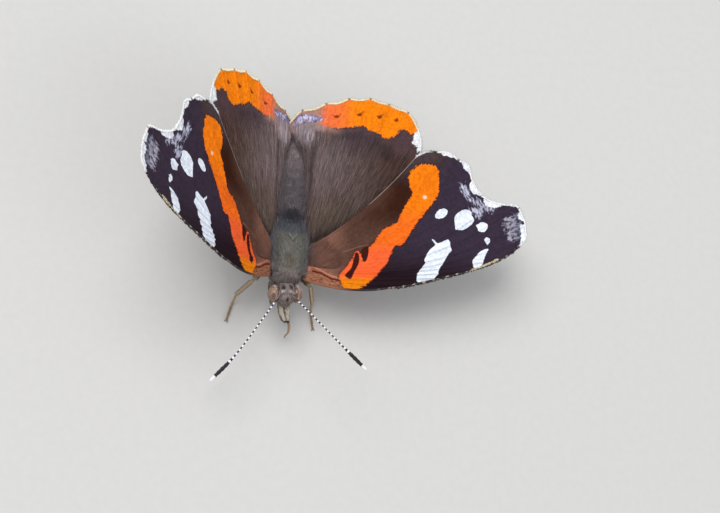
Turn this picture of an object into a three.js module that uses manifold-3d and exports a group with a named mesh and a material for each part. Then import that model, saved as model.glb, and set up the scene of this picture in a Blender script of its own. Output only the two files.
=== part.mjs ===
// A life-size red admiral butterfly that stands on four legs with its wings open.
// Millimetres, +Z up. The head points along -Y and the butterfly's own left is +X.
// Points are written from the centre of the thorax, and the whole is set down at the end.

import * as THREE from "three";
import { mergeVertices } from "three/addons/utils/BufferGeometryUtils.js";
import Module from "manifold-3d";

const wasm = await Module();
wasm.setup();

// Driving dimensions

const standHeight = 6.3;
const gap = 0.3;
const membraneThickness = 0.5;
const veinHeight = 0.16;
const veinFoot = 0.24;
const veinStart = 0.1;
const widestFoot = 0.3;
const pleatDepth = 0.09;
const pleatRise = [0.1, 0.5];
const marginBand = [0.85, 1];
const wingCamber = 0.45;
const camberReach = 31;
const frontDroop = 0.03;
const frontDroopStart = 1;
const hookRadius = 0.9;
const headTurn = THREE.MathUtils.degToRad(8);
const neck = new THREE.Vector3(0, -4.4, 0);

// Body sections: place along y, height of the centre, half width, reach up and reach down

const thoraxSections = [
  [-4.3, -0.1, 1.35, 1.35, 1.45],
  [-3.95, -0.05, 1.95, 1.9, 1.9],
  [-3.1, 0, 2.4, 2.4, 2.35],
  [-0.8, 0, 2.65, 2.85, 2.6],
  [1.0, 0, 2.6, 2.8, 2.5],
  [2.5, 0.1, 2.3, 2.25, 2.2],
  [3.2, 0.2, 1.85, 1.75, 1.75],
  [3.45, 0.25, 1.5, 1.45, 1.45],
];
const abdomenSections = [
  [3.75, 0.35, 1.25, 1.3, 1.3],
  [4.6, 0.25, 1.7, 1.65, 1.6],
  [7.0, 0, 2.0, 1.9, 1.9],
  [9.5, -0.35, 2.0, 1.9, 1.95],
  [12.0, -0.8, 1.8, 1.75, 1.8],
  [14.3, -1.2, 1.45, 1.4, 1.45],
  [16.2, -1.6, 0.95, 0.9, 0.95],
  [17.0, -1.75, 0.3, 0.3, 0.3],
];
const headSections = [
  [-4.7, 0, 0.95, 0.95, 1.0],
  [-5.2, 0.05, 1.3, 1.35, 1.35],
  [-6.0, 0, 1.5, 1.55, 1.6],
  [-6.8, -0.1, 1.3, 1.35, 1.5],
  [-7.3, -0.25, 0.8, 0.85, 1.1],
  [-7.5, -0.35, 0.3, 0.3, 0.4],
];
const abdomenRings = 8;
const ringGroove = 0.05;

const eyeCentre = [1.45, -5.95, 0.05];
const eyeReach = [0.75, 1.0, 1.15];

// Antennae, palps and proboscis: the points that each runs through, and its radii along it

const antennae = {
  left: [[0.45, -5.9, 1.1], [3.6, -9.5, 3.3], [7.2, -13.0, 4.4], [10.7, -15.8, 4.4]],
  right: [[-0.45, -5.9, 1.1], [-3.3, -10.8, 1.7], [-6.1, -15.4, 1.1], [-8.8, -18.8, 0.0]],
};
const antennaRadii = [0.26, 0.25, 0.25, 0.25, 0.25, 0.25, 0.25, 0.28, 0.42, 0.44, 0.22];
const palpPath = [[0.55, -6.7, -1.0], [0.53, -7.9, -1.05], [0.46, -8.9, -0.75], [0.34, -9.6, -0.2]];
const palpRadii = [0.4, 0.46, 0.36, 0.2];
const proboscisPath = [
  [0.5, -6.4, -1.2],
  [1.1, -7.6, -2.2],
  [2.1, -9.2, -2.35],
  [2.35, -10.0, -3.6],
  [2.2, -10.2, -4.9],
  [2.0, -10.3, -5.8],
];
const proboscisRadii = [0.28, 0.26, 0.25, 0.25, 0.24, 0.16];

// Legs: the short front pair is folded under the head, and the others carry the body

const forelegPath = [[0.8, -2.9, -1.4], [1.2, -3.7, -2.9], [1.35, -5.2, -2.95], [1.05, -6.9, -2.5]];
const forelegRadii = [0.36, 0.38, 0.34, 0.25];
const legs = {
  mid_left: { root: [0.9, -0.8, -1.9], hip: [1.5, -1.3, -3.0], knee: [4.0, -3.8, -1.7],
    ankle: [5.3, -5.1, -5.1], toe: [6.0, -8.6] },
  mid_right: { root: [-0.9, -0.8, -1.9], hip: [-1.5, -1.3, -3.0], knee: [-3.8, -4.1, -1.5],
    ankle: [-5.2, -5.4, -5.1], toe: [-6.1, -9.0] },
  hind_left: { root: [0.9, 1.5, -1.8], hip: [1.4, 2.1, -2.9], knee: [3.8, 6.2, -2.6],
    ankle: [5.2, 9.7, -5.1], toe: [6.2, 13.2] },
  hind_right: { root: [-0.9, 1.5, -1.8], hip: [-1.4, 2.1, -2.9], knee: [-3.5, 6.1, -2.5],
    ankle: [-4.9, 9.5, -5.1], toe: [-5.6, 13.4] },
};
const femurRadii = [0.5, 0.48, 0.42, 0.34];
const tibiaRadii = [0.3, 0.34, 0.3, 0.28];
const tarsusRadii = [0.27, 0.28, 0.26, 0.25];
const soleCut = 0.12;
const tarsusBend = 0.35;
const palpFlatness = 0.8;
const capTurns = [0.3, 0.65];

// Wings: hinge and spread. Lift raises the wing tip, pitch raises its rear, sweep turns it back

const wingSpread = {
  forewing_left: { side: 1, lift: 5.0, pitch: 7.9, sweep: 4.8 },
  forewing_right: { side: -1, lift: 46.7, pitch: -1.1, sweep: -4.8 },
  hindwing_left: { side: 1, lift: 6.3, pitch: 7.5, sweep: 3.9 },
  hindwing_right: { side: -1, lift: 41.4, pitch: 1.2, sweep: -3.9 },
};
const forewingHinge = [2.3, -1.6, 1.4];
const hindwingHinge = [2.3, 1.6, 0.6];

// Each ray runs from the root to the margin along a vein: its point half way and its end, out from
// the hinge and forward of it. Vein is where its ridge starts, from 0 at the root, and bulge is how
// far the margin swells or is notched before the next ray.

const forewingRoot = { out: -1.2, front: 1.9, rear: -1.2 };
const forewingRays = [
  { half: [5.2, 3.4], end: [11.6, 3.05], bulge: 0.1 },
  { half: [7.0, 2.65], end: [15.2, 2.4], vein: 0, bulge: 0.05 },
  { half: [8.6, 2.05], end: [19.0, 1.4], vein: 0.35, bulge: 0.05 },
  { half: [10.6, 1.5], end: [22.8, 0.3], vein: 0.45, bulge: 0.15 },
  { half: [12.6, 1.0], end: [27.3, -1.5], vein: 0, bulge: 0.3 },
  { half: [14.0, 0.5], end: [30.9, -4.5], vein: 0.5, bulge: 0.1 },
  { half: [14.4, -0.1], end: [30.9, -6.8], vein: 0.55, bulge: 0.1 },
  { half: [14.5, -0.9], end: [29.7, -9.1], vein: 0.5, bulge: -0.15 },
  { half: [13.9, -2.0], end: [26.4, -9.4], vein: 0.5, bulge: -0.35 },
  { half: [12.8, -3.2], end: [23.9, -11.2], vein: 0.5, bulge: -0.25 },
  { half: [11.5, -4.3], end: [22.7, -14.4], vein: 0, bulge: -0.1 },
  { half: [9.6, -5.3], end: [20.0, -16.05], vein: 0.3, bulge: 0.05 },
  { half: [7.7, -6.2], end: [16.9, -16.05], vein: 0, bulge: 0.15 },
  { half: [7.0, -6.8], end: [15.2, -15.2], bulge: 0 },
];
const hindwingRoot = { out: -1.2, front: 1.1, rear: -1.6 };
const hindwingRays = [
  { half: [6.8, -1.4], end: [14.6, -10.4], bulge: 0.2 },
  { half: [7.2, -3.0], end: [15.8, -13.6], vein: 0, bulge: 0.1 },
  { half: [7.3, -4.8], end: [15.6, -16.0], vein: 0.3, bulge: 0.15 },
  { half: [6.8, -6.6], end: [14.0, -18.8], vein: 0.45, bulge: -0.1 },
  { half: [5.9, -7.9], end: [11.2, -19.75], vein: 0.5, bulge: -0.15 },
  { half: [4.9, -8.9], end: [8.6, -20.35], vein: 0.45, bulge: -0.2 },
  { half: [3.7, -9.4], end: [5.6, -20.1], vein: 0, bulge: -0.25 },
  { half: [2.3, -9.4], end: [2.4, -19.2], vein: 0.3, bulge: -0.25 },
  { half: [0.7, -8.9], end: [-0.9, -18.0], vein: 0, bulge: -0.05 },
  { half: [-1.2, -8.4], end: [-2.3, -16.6], bulge: 0 },
];
const wingStations = [0, 0.13, 0.25, 0.36, 0.45, 0.5, 0.55, 0.65, 0.76, 0.87, 0.95, 1];

// The inner edge of each hindwing turns down beside the abdomen: how far out it stays, along y

const hookClearance = [[3, 2.75], [6, 2.6], [9, 2.75], [12, 2.55], [15, 2.1], [17, 1.1], [19, 0.4]];
const hookStart = [3, 6.5];
const hookEnd = [13, 18.5];
const hookEndShare = 0.6;

// Small tools

const vector = (point) => new THREE.Vector3(...point);
const mirrored = (point) => [-point[0], point[1], point[2]];

function mix(table, place) {
  const last = table.length - 1;
  if (place <= table[0][0]) return table[0][1];
  for (let i = 0; i < last; i += 1) {
    const [from, fromValue] = table[i];
    const [to, toValue] = table[i + 1];
    if (place <= to) return THREE.MathUtils.mapLinear(place, from, to, fromValue, toValue);
  }
  return table[last][1];
}

function meshGeometry(points, triangles) {
  const geometry = new THREE.BufferGeometry();
  geometry.setAttribute("position", new THREE.Float32BufferAttribute(points, 3));
  geometry.setIndex(triangles);
  return geometry;
}

function toSolid(geometry) {
  const bare = geometry.clone();
  bare.deleteAttribute("normal");
  bare.deleteAttribute("uv");
  const merged = mergeVertices(bare, 1e-5);
  const mesh = new wasm.Mesh({
    numProp: 3,
    vertProperties: new Float32Array(merged.attributes.position.array),
    triVerts: new Uint32Array(merged.index.array),
  });
  return new wasm.Manifold(mesh);
}

function toGeometry(solid) {
  const pieces = solid.decompose().sort((a, b) => b.volume() - a.volume());
  const mesh = pieces[0].getMesh();
  const geometry = meshGeometry(Array.from(mesh.vertProperties), Array.from(mesh.triVerts));
  geometry.computeVertexNormals();
  return geometry;
}

// Rings of points are joined into one closed skin, with a point at the middle of each end

function skinRings(rings, firstPole, lastPole) {
  const sides = rings[0].length;
  const points = [];
  const triangles = [];
  for (const ring of rings) {
    for (const point of ring) points.push(point.x, point.y, point.z);
  }
  const first = rings.length * sides;
  points.push(firstPole.x, firstPole.y, firstPole.z, lastPole.x, lastPole.y, lastPole.z);
  const lastRing = (rings.length - 1) * sides;
  for (let i = 0; i < sides; i += 1) {
    const next = (i + 1) % sides;
    for (let r = 0; r < rings.length - 1; r += 1) {
      const a = r * sides;
      const b = a + sides;
      triangles.push(a + i, a + next, b + next, a + i, b + next, b + i);
    }
    triangles.push(first, next, i);
    triangles.push(first + 1, lastRing + i, lastRing + next);
  }
  return meshGeometry(points, triangles);
}

// A body part is lofted through its sections, which run head to tail or tail to head

function loft(sections, ringCount, sides, grow = 0, shape = () => 1) {
  const towardsTail = sections[0][0] < sections.at(-1)[0];
  const centres = new THREE.CatmullRomCurve3(sections.map(([y, z]) => new THREE.Vector3(0, y, z)));
  const reaches = new THREE.CatmullRomCurve3(sections.map(([, , ...reach]) => vector(reach)));
  const rings = [];
  for (let r = 0; r <= ringCount; r += 1) {
    const share = r / ringCount;
    const centre = centres.getPoint(share);
    const reach = reaches.getPoint(share).multiplyScalar(shape(share)).addScalar(grow);
    const overhang = grow * (2 * share - 1) * (towardsTail ? 1 : -1);
    const ring = [];
    for (let i = 0; i < sides; i += 1) {
      const angle = (towardsTail ? -1 : 1) * 2 * Math.PI * (i / sides);
      const rise = Math.sin(angle) * (Math.sin(angle) > 0 ? reach.y : reach.z);
      ring.push(new THREE.Vector3(Math.cos(angle) * reach.x, centre.y + overhang, centre.z + rise));
    }
    rings.push(ring);
  }
  const pole = (ring) => ring.reduce((sum, p) => sum.add(p), new THREE.Vector3()).divideScalar(sides);
  return skinRings(rings, pole(rings[0]), pole(rings.at(-1)));
}

// A limb, feeler or palp is a round tube with round ends, and may be flattened from side to side

function tube(path, radii, steps, sides, grow = 0, flatten = 1) {
  const curve = new THREE.CatmullRomCurve3(path.map(vector));
  const frames = curve.computeFrenetFrames(steps);
  const radiusTable = radii.map((radius, i) => [i / (radii.length - 1), radius]);
  const rings = [];
  const addRing = (centre, step, radius) => {
    const ring = [];
    for (let i = 0; i < sides; i += 1) {
      const angle = 2 * Math.PI * (i / sides);
      const offset = frames.normals[step].clone().multiplyScalar(Math.cos(angle) * radius);
      offset.addScaledVector(frames.binormals[step], Math.sin(angle) * radius);
      offset.x *= flatten;
      ring.push(centre.clone().add(offset));
    }
    rings.push(ring);
  };
  const capAt = (share, step, direction) => {
    const radius = mix(radiusTable, share) + grow;
    const centre = curve.getPoint(share);
    const tangent = frames.tangents[step].clone().multiplyScalar(direction * radius);
    return { radius, centre, tangent };
  };
  const start = capAt(0, 0, -1);
  for (const turn of [...capTurns].reverse()) {
    const angle = turn * Math.PI / 2;
    addRing(start.centre.clone().addScaledVector(start.tangent, Math.sin(angle)), 0,
      start.radius * Math.cos(angle));
  }
  for (let s = 0; s <= steps; s += 1) {
    const share = s / steps;
    addRing(curve.getPoint(share), s, mix(radiusTable, share) + grow);
  }
  const end = capAt(1, steps, 1);
  for (const turn of capTurns) {
    const angle = turn * Math.PI / 2;
    addRing(end.centre.clone().addScaledVector(end.tangent, Math.sin(angle)), steps,
      end.radius * Math.cos(angle));
  }
  return skinRings(rings, start.centre.clone().add(start.tangent), end.centre.clone().add(end.tangent));
}

// A grid of places on a sheet becomes a thin closed vane, split alike on both of its faces

function vane(grid, place, thickness) {
  const rows = grid.length;
  const columns = grid[0].length;
  const probe = 0.02;
  const points = [];
  for (const face of [1, -1]) {
    for (const row of grid) {
      for (const { out, front, lift, dip } of row) {
        const here = place(out, front);
        const along = place(out + probe, front).sub(here);
        const across = place(out, front + probe).sub(here);
        const normal = along.cross(across).normalize();
        if (normal.z < 0) normal.negate();
        const point = here.addScaledVector(normal, face * (thickness / 2 + lift) - dip);
        points.push(point.x, point.y, point.z);
      }
    }
  }
  const at = (face, r, c) => (face * rows + r) * columns + c;
  const triangles = [];
  const addPair = (a, b, c, d) => triangles.push(a, c, b, a, d, c);
  for (let r = 0; r < rows - 1; r += 1) {
    for (let c = 0; c < columns - 1; c += 1) {
      addPair(at(0, r, c), at(0, r, c + 1), at(0, r + 1, c + 1), at(0, r + 1, c));
      triangles.push(at(1, r, c), at(1, r, c + 1), at(1, r + 1, c + 1));
      triangles.push(at(1, r, c), at(1, r + 1, c + 1), at(1, r + 1, c));
    }
    const c = columns - 1;
    addPair(at(0, r, c), at(1, r, c), at(1, r + 1, c), at(0, r + 1, c));
    addPair(at(0, r + 1, 0), at(1, r + 1, 0), at(1, r, 0), at(0, r, 0));
  }
  for (let c = 0; c < columns - 1; c += 1) {
    const r = rows - 1;
    addPair(at(0, 0, c), at(1, 0, c), at(1, 0, c + 1), at(0, 0, c + 1));
    addPair(at(0, r, c + 1), at(1, r, c + 1), at(1, r, c), at(0, r, c));
  }
  return meshGeometry(points, triangles);
}

// Wing grid: each vein is a crest between two feet, with a pleat between neighbouring veins

function rayPoint(ray, root, across, share) {
  const rootFront = THREE.MathUtils.lerp(root.front, root.rear, across);
  const weights = [2 * (share - 0.5) * (share - 1), 4 * share * (1 - share), 2 * share * (share - 0.5)];
  return new THREE.Vector2(
    weights[0] * root.out + weights[1] * ray.half[0] + weights[2] * ray.end[0],
    weights[0] * rootFront + weights[1] * ray.half[1] + weights[2] * ray.end[1],
  );
}

function wingGrid(rays, root) {
  const last = rays.length - 1;
  return wingStations.map((share) => {
    const places = rays.map((ray, i) => rayPoint(ray, root, i / last, share));
    const row = [];
    const add = (point, lift, dip) => row.push({ out: point.x, front: point.y, lift, dip });
    rays.forEach((ray, i) => {
      const hasVein = ray.vein !== undefined;
      const ridge = hasVein ? THREE.MathUtils.smoothstep(share, ray.vein - veinStart, ray.vein) : 0;
      add(places[i], veinHeight * ridge, 0);
      if (i === last) return;
      const towards = places[i + 1].clone().sub(places[i]);
      const width = towards.length();
      const foot = Math.min(veinFoot, widestFoot * width) / width;
      const middle = places[i].clone().addScaledVector(towards, 0.5);
      const outward = new THREE.Vector2(-towards.y, towards.x).normalize();
      const marginPull = THREE.MathUtils.smoothstep(share, ...marginBand);
      middle.addScaledVector(outward, ray.bulge * marginPull);
      const pleat = pleatDepth * THREE.MathUtils.smoothstep(share, ...pleatRise);
      if (hasVein) add(places[i].clone().addScaledVector(towards, foot), 0, 0);
      add(middle, 0, pleat);
      const nextHasVein = rays[i + 1].vein !== undefined;
      if (nextHasVein) add(places[i + 1].clone().addScaledVector(towards, -foot), 0, 0);
    });
    return row;
  });
}

function wingPlace(name, hinge) {
  const { side, lift, pitch, sweep } = wingSpread[name];
  const turn = new THREE.Matrix4()
    .makeRotationY(-THREE.MathUtils.degToRad(lift))
    .multiply(new THREE.Matrix4().makeRotationX(THREE.MathUtils.degToRad(pitch)))
    .multiply(new THREE.Matrix4().makeRotationZ(THREE.MathUtils.degToRad(sweep)));
  return (out, front) => {
    const reach = Math.min(Math.hypot(out, front) / camberReach, 1);
    const droop = frontDroop * Math.max(front - frontDroopStart, 0) ** 2;
    const camber = wingCamber * Math.sin(Math.PI * reach) - droop;
    const point = new THREE.Vector3(out, -front, camber);
    point.applyMatrix4(turn).add(vector(hinge));
    point.x *= side;
    return point;
  };
}

// The hindwing's inner edge leaves the wing's plane on an arc and hangs beside the abdomen

function hooked(place, name) {
  const { side, lift } = wingSpread[name];
  const slope = THREE.MathUtils.degToRad(lift);
  return (out, front) => {
    const point = place(out, front);
    const inward = THREE.MathUtils.smoothstep(point.y, ...hookStart);
    const easing = 1 - (1 - hookEndShare) * THREE.MathUtils.smoothstep(point.y, ...hookEnd);
    const turn = (Math.PI / 2 - slope) * inward * easing;
    const foldX = mix(hookClearance, point.y) + hookRadius * (1 - Math.sin(slope));
    const beyond = (foldX - side * point.x) / Math.cos(slope);
    if (beyond <= 0 || turn <= 0) return point;
    const arc = Math.min(beyond / hookRadius, turn);
    const straight = Math.max(beyond - hookRadius * turn, 0);
    const foldZ = point.z + beyond * Math.sin(slope);
    const bent = slope + arc;
    const inwards = hookRadius * (Math.sin(bent) - Math.sin(slope)) + straight * Math.cos(bent);
    const downwards = hookRadius * (Math.cos(slope) - Math.cos(bent)) + straight * Math.sin(bent);
    return new THREE.Vector3(side * (foldX - inwards), point.y, foldZ - downwards);
  };
}

// Materials

const finish = (color, roughness) => new THREE.MeshStandardMaterial({ color, roughness, metalness: 0 });
const furFinish = finish(0x5a5144, 0.9);
const abdomenFinish = finish(0x6b6156, 0.9);
const eyeFinish = finish(0x6a4a30, 0.3);
const feelerFinish = finish(0x1c1a1c, 0.6);
const palpFinish = finish(0x8a7a66, 0.9);
const legFinish = finish(0xa58a68, 0.6);
const forewingFinish = finish(0x2c242a, 0.7);
const hindwingFinish = finish(0x5f524e, 0.75);

// Assembly

const butterfly = new THREE.Group();

function add(name, geometry, material) {
  const mesh = new THREE.Mesh(geometry, material);
  mesh.name = name;
  butterfly.add(mesh);
}

const thoraxSolid = (grow) => toSolid(loft(thoraxSections, 14, 20, grow));
const ringSwell = (share) => Math.sqrt(Math.abs(Math.sin(Math.PI * share * abdomenRings)));
const grooves = (share) => 1 - ringGroove * (1 - ringSwell(share));
const abdomenShape = (grow) => loft(abdomenSections, 24, 18, grow, grow > 0 ? () => 1 : grooves);
const abdomenSolid = (grow) => toSolid(abdomenShape(grow));

function turnedHead(geometry) {
  geometry.translate(-neck.x, -neck.y, -neck.z);
  geometry.rotateZ(headTurn);
  return geometry.translate(neck.x, neck.y, neck.z);
}

function eyeGeometry(side, grow) {
  const geometry = new THREE.SphereGeometry(1, 16, 12);
  geometry.scale(eyeReach[0] + grow, eyeReach[1] + grow, eyeReach[2] + grow);
  geometry.translate(side * eyeCentre[0], eyeCentre[1], eyeCentre[2]);
  return turnedHead(geometry);
}

function addBody() {
  add("thorax", toGeometry(thoraxSolid(0)), furFinish);
  add("abdomen", toGeometry(abdomenSolid(0)), abdomenFinish);
}

const headSolid = (grow) => toSolid(turnedHead(loft(headSections, 10, 18, grow)));

function addHead() {
  let head = headSolid(0);
  for (const [word, side] of [["left", 1], ["right", -1]]) {
    head = head.subtract(toSolid(eyeGeometry(side, gap)));
    add(`eye_${word}`, toGeometry(toSolid(eyeGeometry(side, 0))), eyeFinish);
  }
  add("head", toGeometry(head), furFinish);
  const cutter = headSolid(gap);
  for (const [word, side] of [["left", 1], ["right", -1]]) {
    const path = side > 0 ? palpPath : palpPath.map(mirrored);
    const palp = toSolid(turnedHead(tube(path, palpRadii, 6, 8, 0, palpFlatness)));
    add(`palp_${word}`, toGeometry(palp.subtract(cutter)), palpFinish);
    const antenna = toSolid(tube(antennae[word], antennaRadii, 20, 8));
    add(`antenna_${word}`, toGeometry(antenna.subtract(cutter)), feelerFinish);
  }
  const proboscis = toSolid(tube(proboscisPath, proboscisRadii, 14, 8));
  add("proboscis", toGeometry(proboscis.subtract(cutter)), feelerFinish);
}

function addLegs() {
  const cutter = thoraxSolid(gap);
  for (const [word, side] of [["left", 1], ["right", -1]]) {
    const path = side > 0 ? forelegPath : forelegPath.map(mirrored);
    const foreleg = toSolid(tube(path, forelegRadii, 8, 8));
    add(`foreleg_${word}`, toGeometry(foreleg.subtract(cutter)), legFinish);
  }
  const floorDepth = 10;
  const ground = new THREE.BoxGeometry(100, 100, floorDepth).translate(0, 0, -standHeight - floorDepth / 2);
  const floor = toSolid(ground);
  for (const [word, { root, hip, knee, ankle, toe }] of Object.entries(legs)) {
    const femur = (grow) => toSolid(tube([root, hip, knee], femurRadii, 7, 8, grow));
    const tibia = (grow) => toSolid(tube([knee, ankle], tibiaRadii, 4, 8, grow));
    const soleHeight = tarsusRadii.at(-1) - soleCut - standHeight;
    const touch = vector(ankle).lerp(vector([...toe, soleHeight]), tarsusBend);
    touch.z = soleHeight + soleCut;
    const tarsus = tube([ankle, touch.toArray(), [...toe, soleHeight]], tarsusRadii, 6, 8);
    add(`femur_${word}`, toGeometry(femur(0).subtract(cutter)), legFinish);
    add(`tibia_${word}`, toGeometry(tibia(0).subtract(femur(gap))), legFinish);
    add(`tarsus_${word}`, toGeometry(toSolid(tarsus).subtract(tibia(gap)).subtract(floor)), legFinish);
  }
}

function addWings() {
  const bodyCutter = thoraxSolid(gap).add(abdomenSolid(gap));
  for (const word of ["left", "right"]) {
    const foreName = `forewing_${word}`;
    const forePlace = wingPlace(foreName, forewingHinge);
    const fore = vane(wingGrid(forewingRays, forewingRoot), forePlace, membraneThickness);
    const hindName = `hindwing_${word}`;
    const hindPlace = hooked(wingPlace(hindName, hindwingHinge), hindName);
    const hind = vane(wingGrid(hindwingRays, hindwingRoot), hindPlace, membraneThickness);
    const outwards = (geometry) => (word === "left" ? geometry : flipped(geometry));
    add(foreName, toGeometry(toSolid(outwards(fore)).subtract(bodyCutter)), forewingFinish);
    add(hindName, toGeometry(toSolid(outwards(hind)).subtract(bodyCutter)), hindwingFinish);
  }
}

function flipped(geometry) {
  const index = geometry.index.array;
  for (let i = 0; i < index.length; i += 3) [index[i], index[i + 1]] = [index[i + 1], index[i]];
  return geometry;
}

addBody();
addHead();
addLegs();
addWings();

// The origin is set at the middle of the box on the floor

const box = new THREE.Box3().setFromObject(butterfly);
butterfly.position.set(-(box.min.x + box.max.x) / 2, -(box.min.y + box.max.y) / 2, -box.min.z);

export default butterfly;
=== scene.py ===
"""The looks of a life-size red admiral butterfly: wing scales, coat, eyes, feelers and legs."""

import logging
import math
from dataclasses import dataclass, field
from enum import Enum

import bpy
import numpy as np
from bpy.types import Material, Node, NodeSocket, NodeTree, Object
from mathutils import Matrix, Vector
from numpy import ndarray as Array
from numpy.random import Generator


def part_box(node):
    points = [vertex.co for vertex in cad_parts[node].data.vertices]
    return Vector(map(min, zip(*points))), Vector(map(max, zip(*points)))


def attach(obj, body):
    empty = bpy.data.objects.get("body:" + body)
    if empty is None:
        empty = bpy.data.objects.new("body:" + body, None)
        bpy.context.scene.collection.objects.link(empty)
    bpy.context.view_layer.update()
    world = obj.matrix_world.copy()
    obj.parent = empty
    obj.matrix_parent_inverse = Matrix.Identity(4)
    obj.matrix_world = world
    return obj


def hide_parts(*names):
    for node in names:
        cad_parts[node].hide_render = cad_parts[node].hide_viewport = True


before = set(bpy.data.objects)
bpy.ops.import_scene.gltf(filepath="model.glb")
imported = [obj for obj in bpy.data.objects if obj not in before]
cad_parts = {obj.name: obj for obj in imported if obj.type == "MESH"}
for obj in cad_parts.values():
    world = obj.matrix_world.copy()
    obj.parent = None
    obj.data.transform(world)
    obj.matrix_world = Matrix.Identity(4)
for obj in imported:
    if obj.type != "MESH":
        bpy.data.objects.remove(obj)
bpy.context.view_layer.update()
bpy.ops.object.select_all(action="DESELECT")

# Lengths are millimetres from the thorax's centre, with the head along -Y, until place() sets
# them down in the shared frame, in metres.
MM = 0.001
STAND_HEIGHT = 6.3
THORAX_REAR = 3.45
BODY = "root"
# The butterfly's own sides, by the sign of x
SIDES = {1: "left", -1: "right"}
# What numpy reads as rows of numbers
Rows = list | tuple | Array

logging.basicConfig(level=logging.INFO, format="%(message)s")
LOG = logging.getLogger("butterfly")


# Numbers and curves

def linear(code: str) -> tuple[float, float, float, float]:
    """Turns an sRGB hex colour into linear light.

    Args:
        code: The colour as "#rrggbb".

    Returns:
        Linear red, green, blue and an alpha of 1.
    """
    channels = [int(code[i:i + 2], 16) / 255 for i in (1, 3, 5)]
    light = [c / 12.92 if c <= 0.04045 else ((c + 0.055) / 1.055) ** 2.4 for c in channels]
    return (*light, 1.0)


def smooth(value: Array, start: float, end: float) -> Array:
    """Rises smoothly from 0 to 1.

    Args:
        value: Where to read the step.
        start: Where it leaves 0.
        end: Where it reaches 1.

    Returns:
        The step at each value.
    """
    share = np.clip((value - start) / (end - start), 0, 1)
    return share * share * (3 - 2 * share)


def blend(first: Array, second: Array, share: Array) -> Array:
    """Mixes two colours.

    Args:
        first: Colour or rows of colours where share is 0.
        second: Colour or rows of colours where share is 1.
        share: One share for each row.

    Returns:
        Rows of colours.
    """
    return first + (second - first) * np.asarray(share)[..., None]


def hues(*codes: str) -> list[Array]:
    """Returns each sRGB hex colour as a linear array."""
    return [np.array(linear(code)) for code in codes]


def same_hue(code: str, count: int) -> Array:
    """Returns rows of one sRGB hex colour, as linear light."""
    return np.tile(linear(code), (count, 1))


def spline(points: Rows, at: Array, closed: bool = False) -> Array:
    """Reads a Catmull-Rom curve.

    Args:
        points: The points that it runs through, one row each.
        at: Where to read it, in points from the first.
        closed: Whether the last point leads back to the first.

    Returns:
        One row for each place.
    """
    points = np.asarray(points, float)
    count = len(points)
    if closed:
        whole = np.vstack([points[-1:], points, points[:2]])
        first = np.floor(at).astype(int) % count
    else:
        before = 2 * points[:1] - points[1:2]
        after = 2 * points[-1:] - points[-2:-1]
        whole = np.vstack([before, points, after])
        first = np.clip(np.floor(at).astype(int), 0, count - 2)
    t = (at - np.floor(at) if closed else at - first)[..., None]
    a, b, c, d = (whole[first + i] for i in range(4))
    bend = (2 * a - 5 * b + 4 * c - d) * t ** 2 + (3 * b - a - 3 * c + d) * t ** 3
    return 0.5 * (2 * b + (c - a) * t + bend)


def rounded(points: Rows, steps: int = 5) -> Array:
    """Runs a smooth line through a few points and back to the first.

    Args:
        points: The points, in order.
        steps: Steps from each point to the next.

    Returns:
        The line as rows of points.
    """
    return spline(points, np.arange(len(points) * steps + 1) / steps - 1e-9, closed=True)


def reach_to_line(points: Array, line: Rows) -> Array:
    """Measures how far points are from a line.

    Args:
        points: Rows of two coordinates.
        line: The line's points, in order.

    Returns:
        The distance of each point.
    """
    line = np.asarray(line, float)
    nearest = np.full(len(points), np.inf)
    for start, end in zip(line[:-1], line[1:]):
        along = end - start
        share = (points - start) @ along / max(along @ along, 1e-12)
        away = points - start - np.clip(share, 0, 1)[:, None] * along
        nearest = np.minimum(nearest, np.hypot(away[:, 0], away[:, 1]))
    return nearest


def closed_line(points: Rows) -> Array:
    """Returns a line with straight pieces that ends where it starts."""
    return np.array([*points, points[0]], float)


def depth_in(points: Array, outline: Array) -> Array:
    """Measures how deep points lie inside an outline.

    Args:
        points: Rows of two coordinates.
        outline: The outline's points, which close on the first.

    Returns:
        The distance to the outline, above 0 inside it.
    """
    inside = np.zeros(len(points), bool)
    for (ax, ay), (bx, by) in zip(outline[:-1], outline[1:]):
        spans = (ay > points[:, 1]) != (by > points[:, 1])
        level = by - ay if abs(by - ay) > 1e-12 else 1e-12
        crossing = ax + (points[:, 1] - ay) * (bx - ax) / level
        inside ^= spans & (points[:, 0] < crossing)
    return reach_to_line(points, outline) * np.where(inside, 1, -1)


def deepest(points: Array, outlines: list) -> Array:
    """Returns how deep points lie in whichever of some straight-edged outlines is the nearest."""
    return np.max([depth_in(points, closed_line(outline)) for outline in outlines], axis=0)


def unit(rows: Array) -> Array:
    """Returns each row at a length of 1."""
    return rows / np.maximum(np.linalg.norm(rows, axis=-1, keepdims=True), 1e-12)


def turned(points: Array, axis: str, degrees: float, centre: tuple = (0, 0, 0)) -> Array:
    """Turns points about an axis.

    Args:
        points: Rows of points.
        axis: "X", "Y" or "Z".
        degrees: The angle.
        centre: A point on the axis.

    Returns:
        The turned points.
    """
    matrix = np.array(Matrix.Rotation(math.radians(degrees), 3, axis))
    return (points - np.array(centre)) @ matrix.T + np.array(centre)


# Pieces

# The side of a tuft's patch, on an unwrap that goes from 0 to 1
UNWRAP_PATCH = 0.003


def thorax_shift() -> Array:
    """Returns where the thorax's centre is in the shared frame, in millimetres."""
    low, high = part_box("thorax")
    return np.array([(low[0] + high[0]) / 2 / MM, high[1] / MM - THORAX_REAR, STAND_HEIGHT])


SHIFT = thorax_shift()


def place(points: Array) -> Array:
    """Sets points down in the shared frame, in metres."""
    return (np.asarray(points) + SHIFT) * MM


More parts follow.
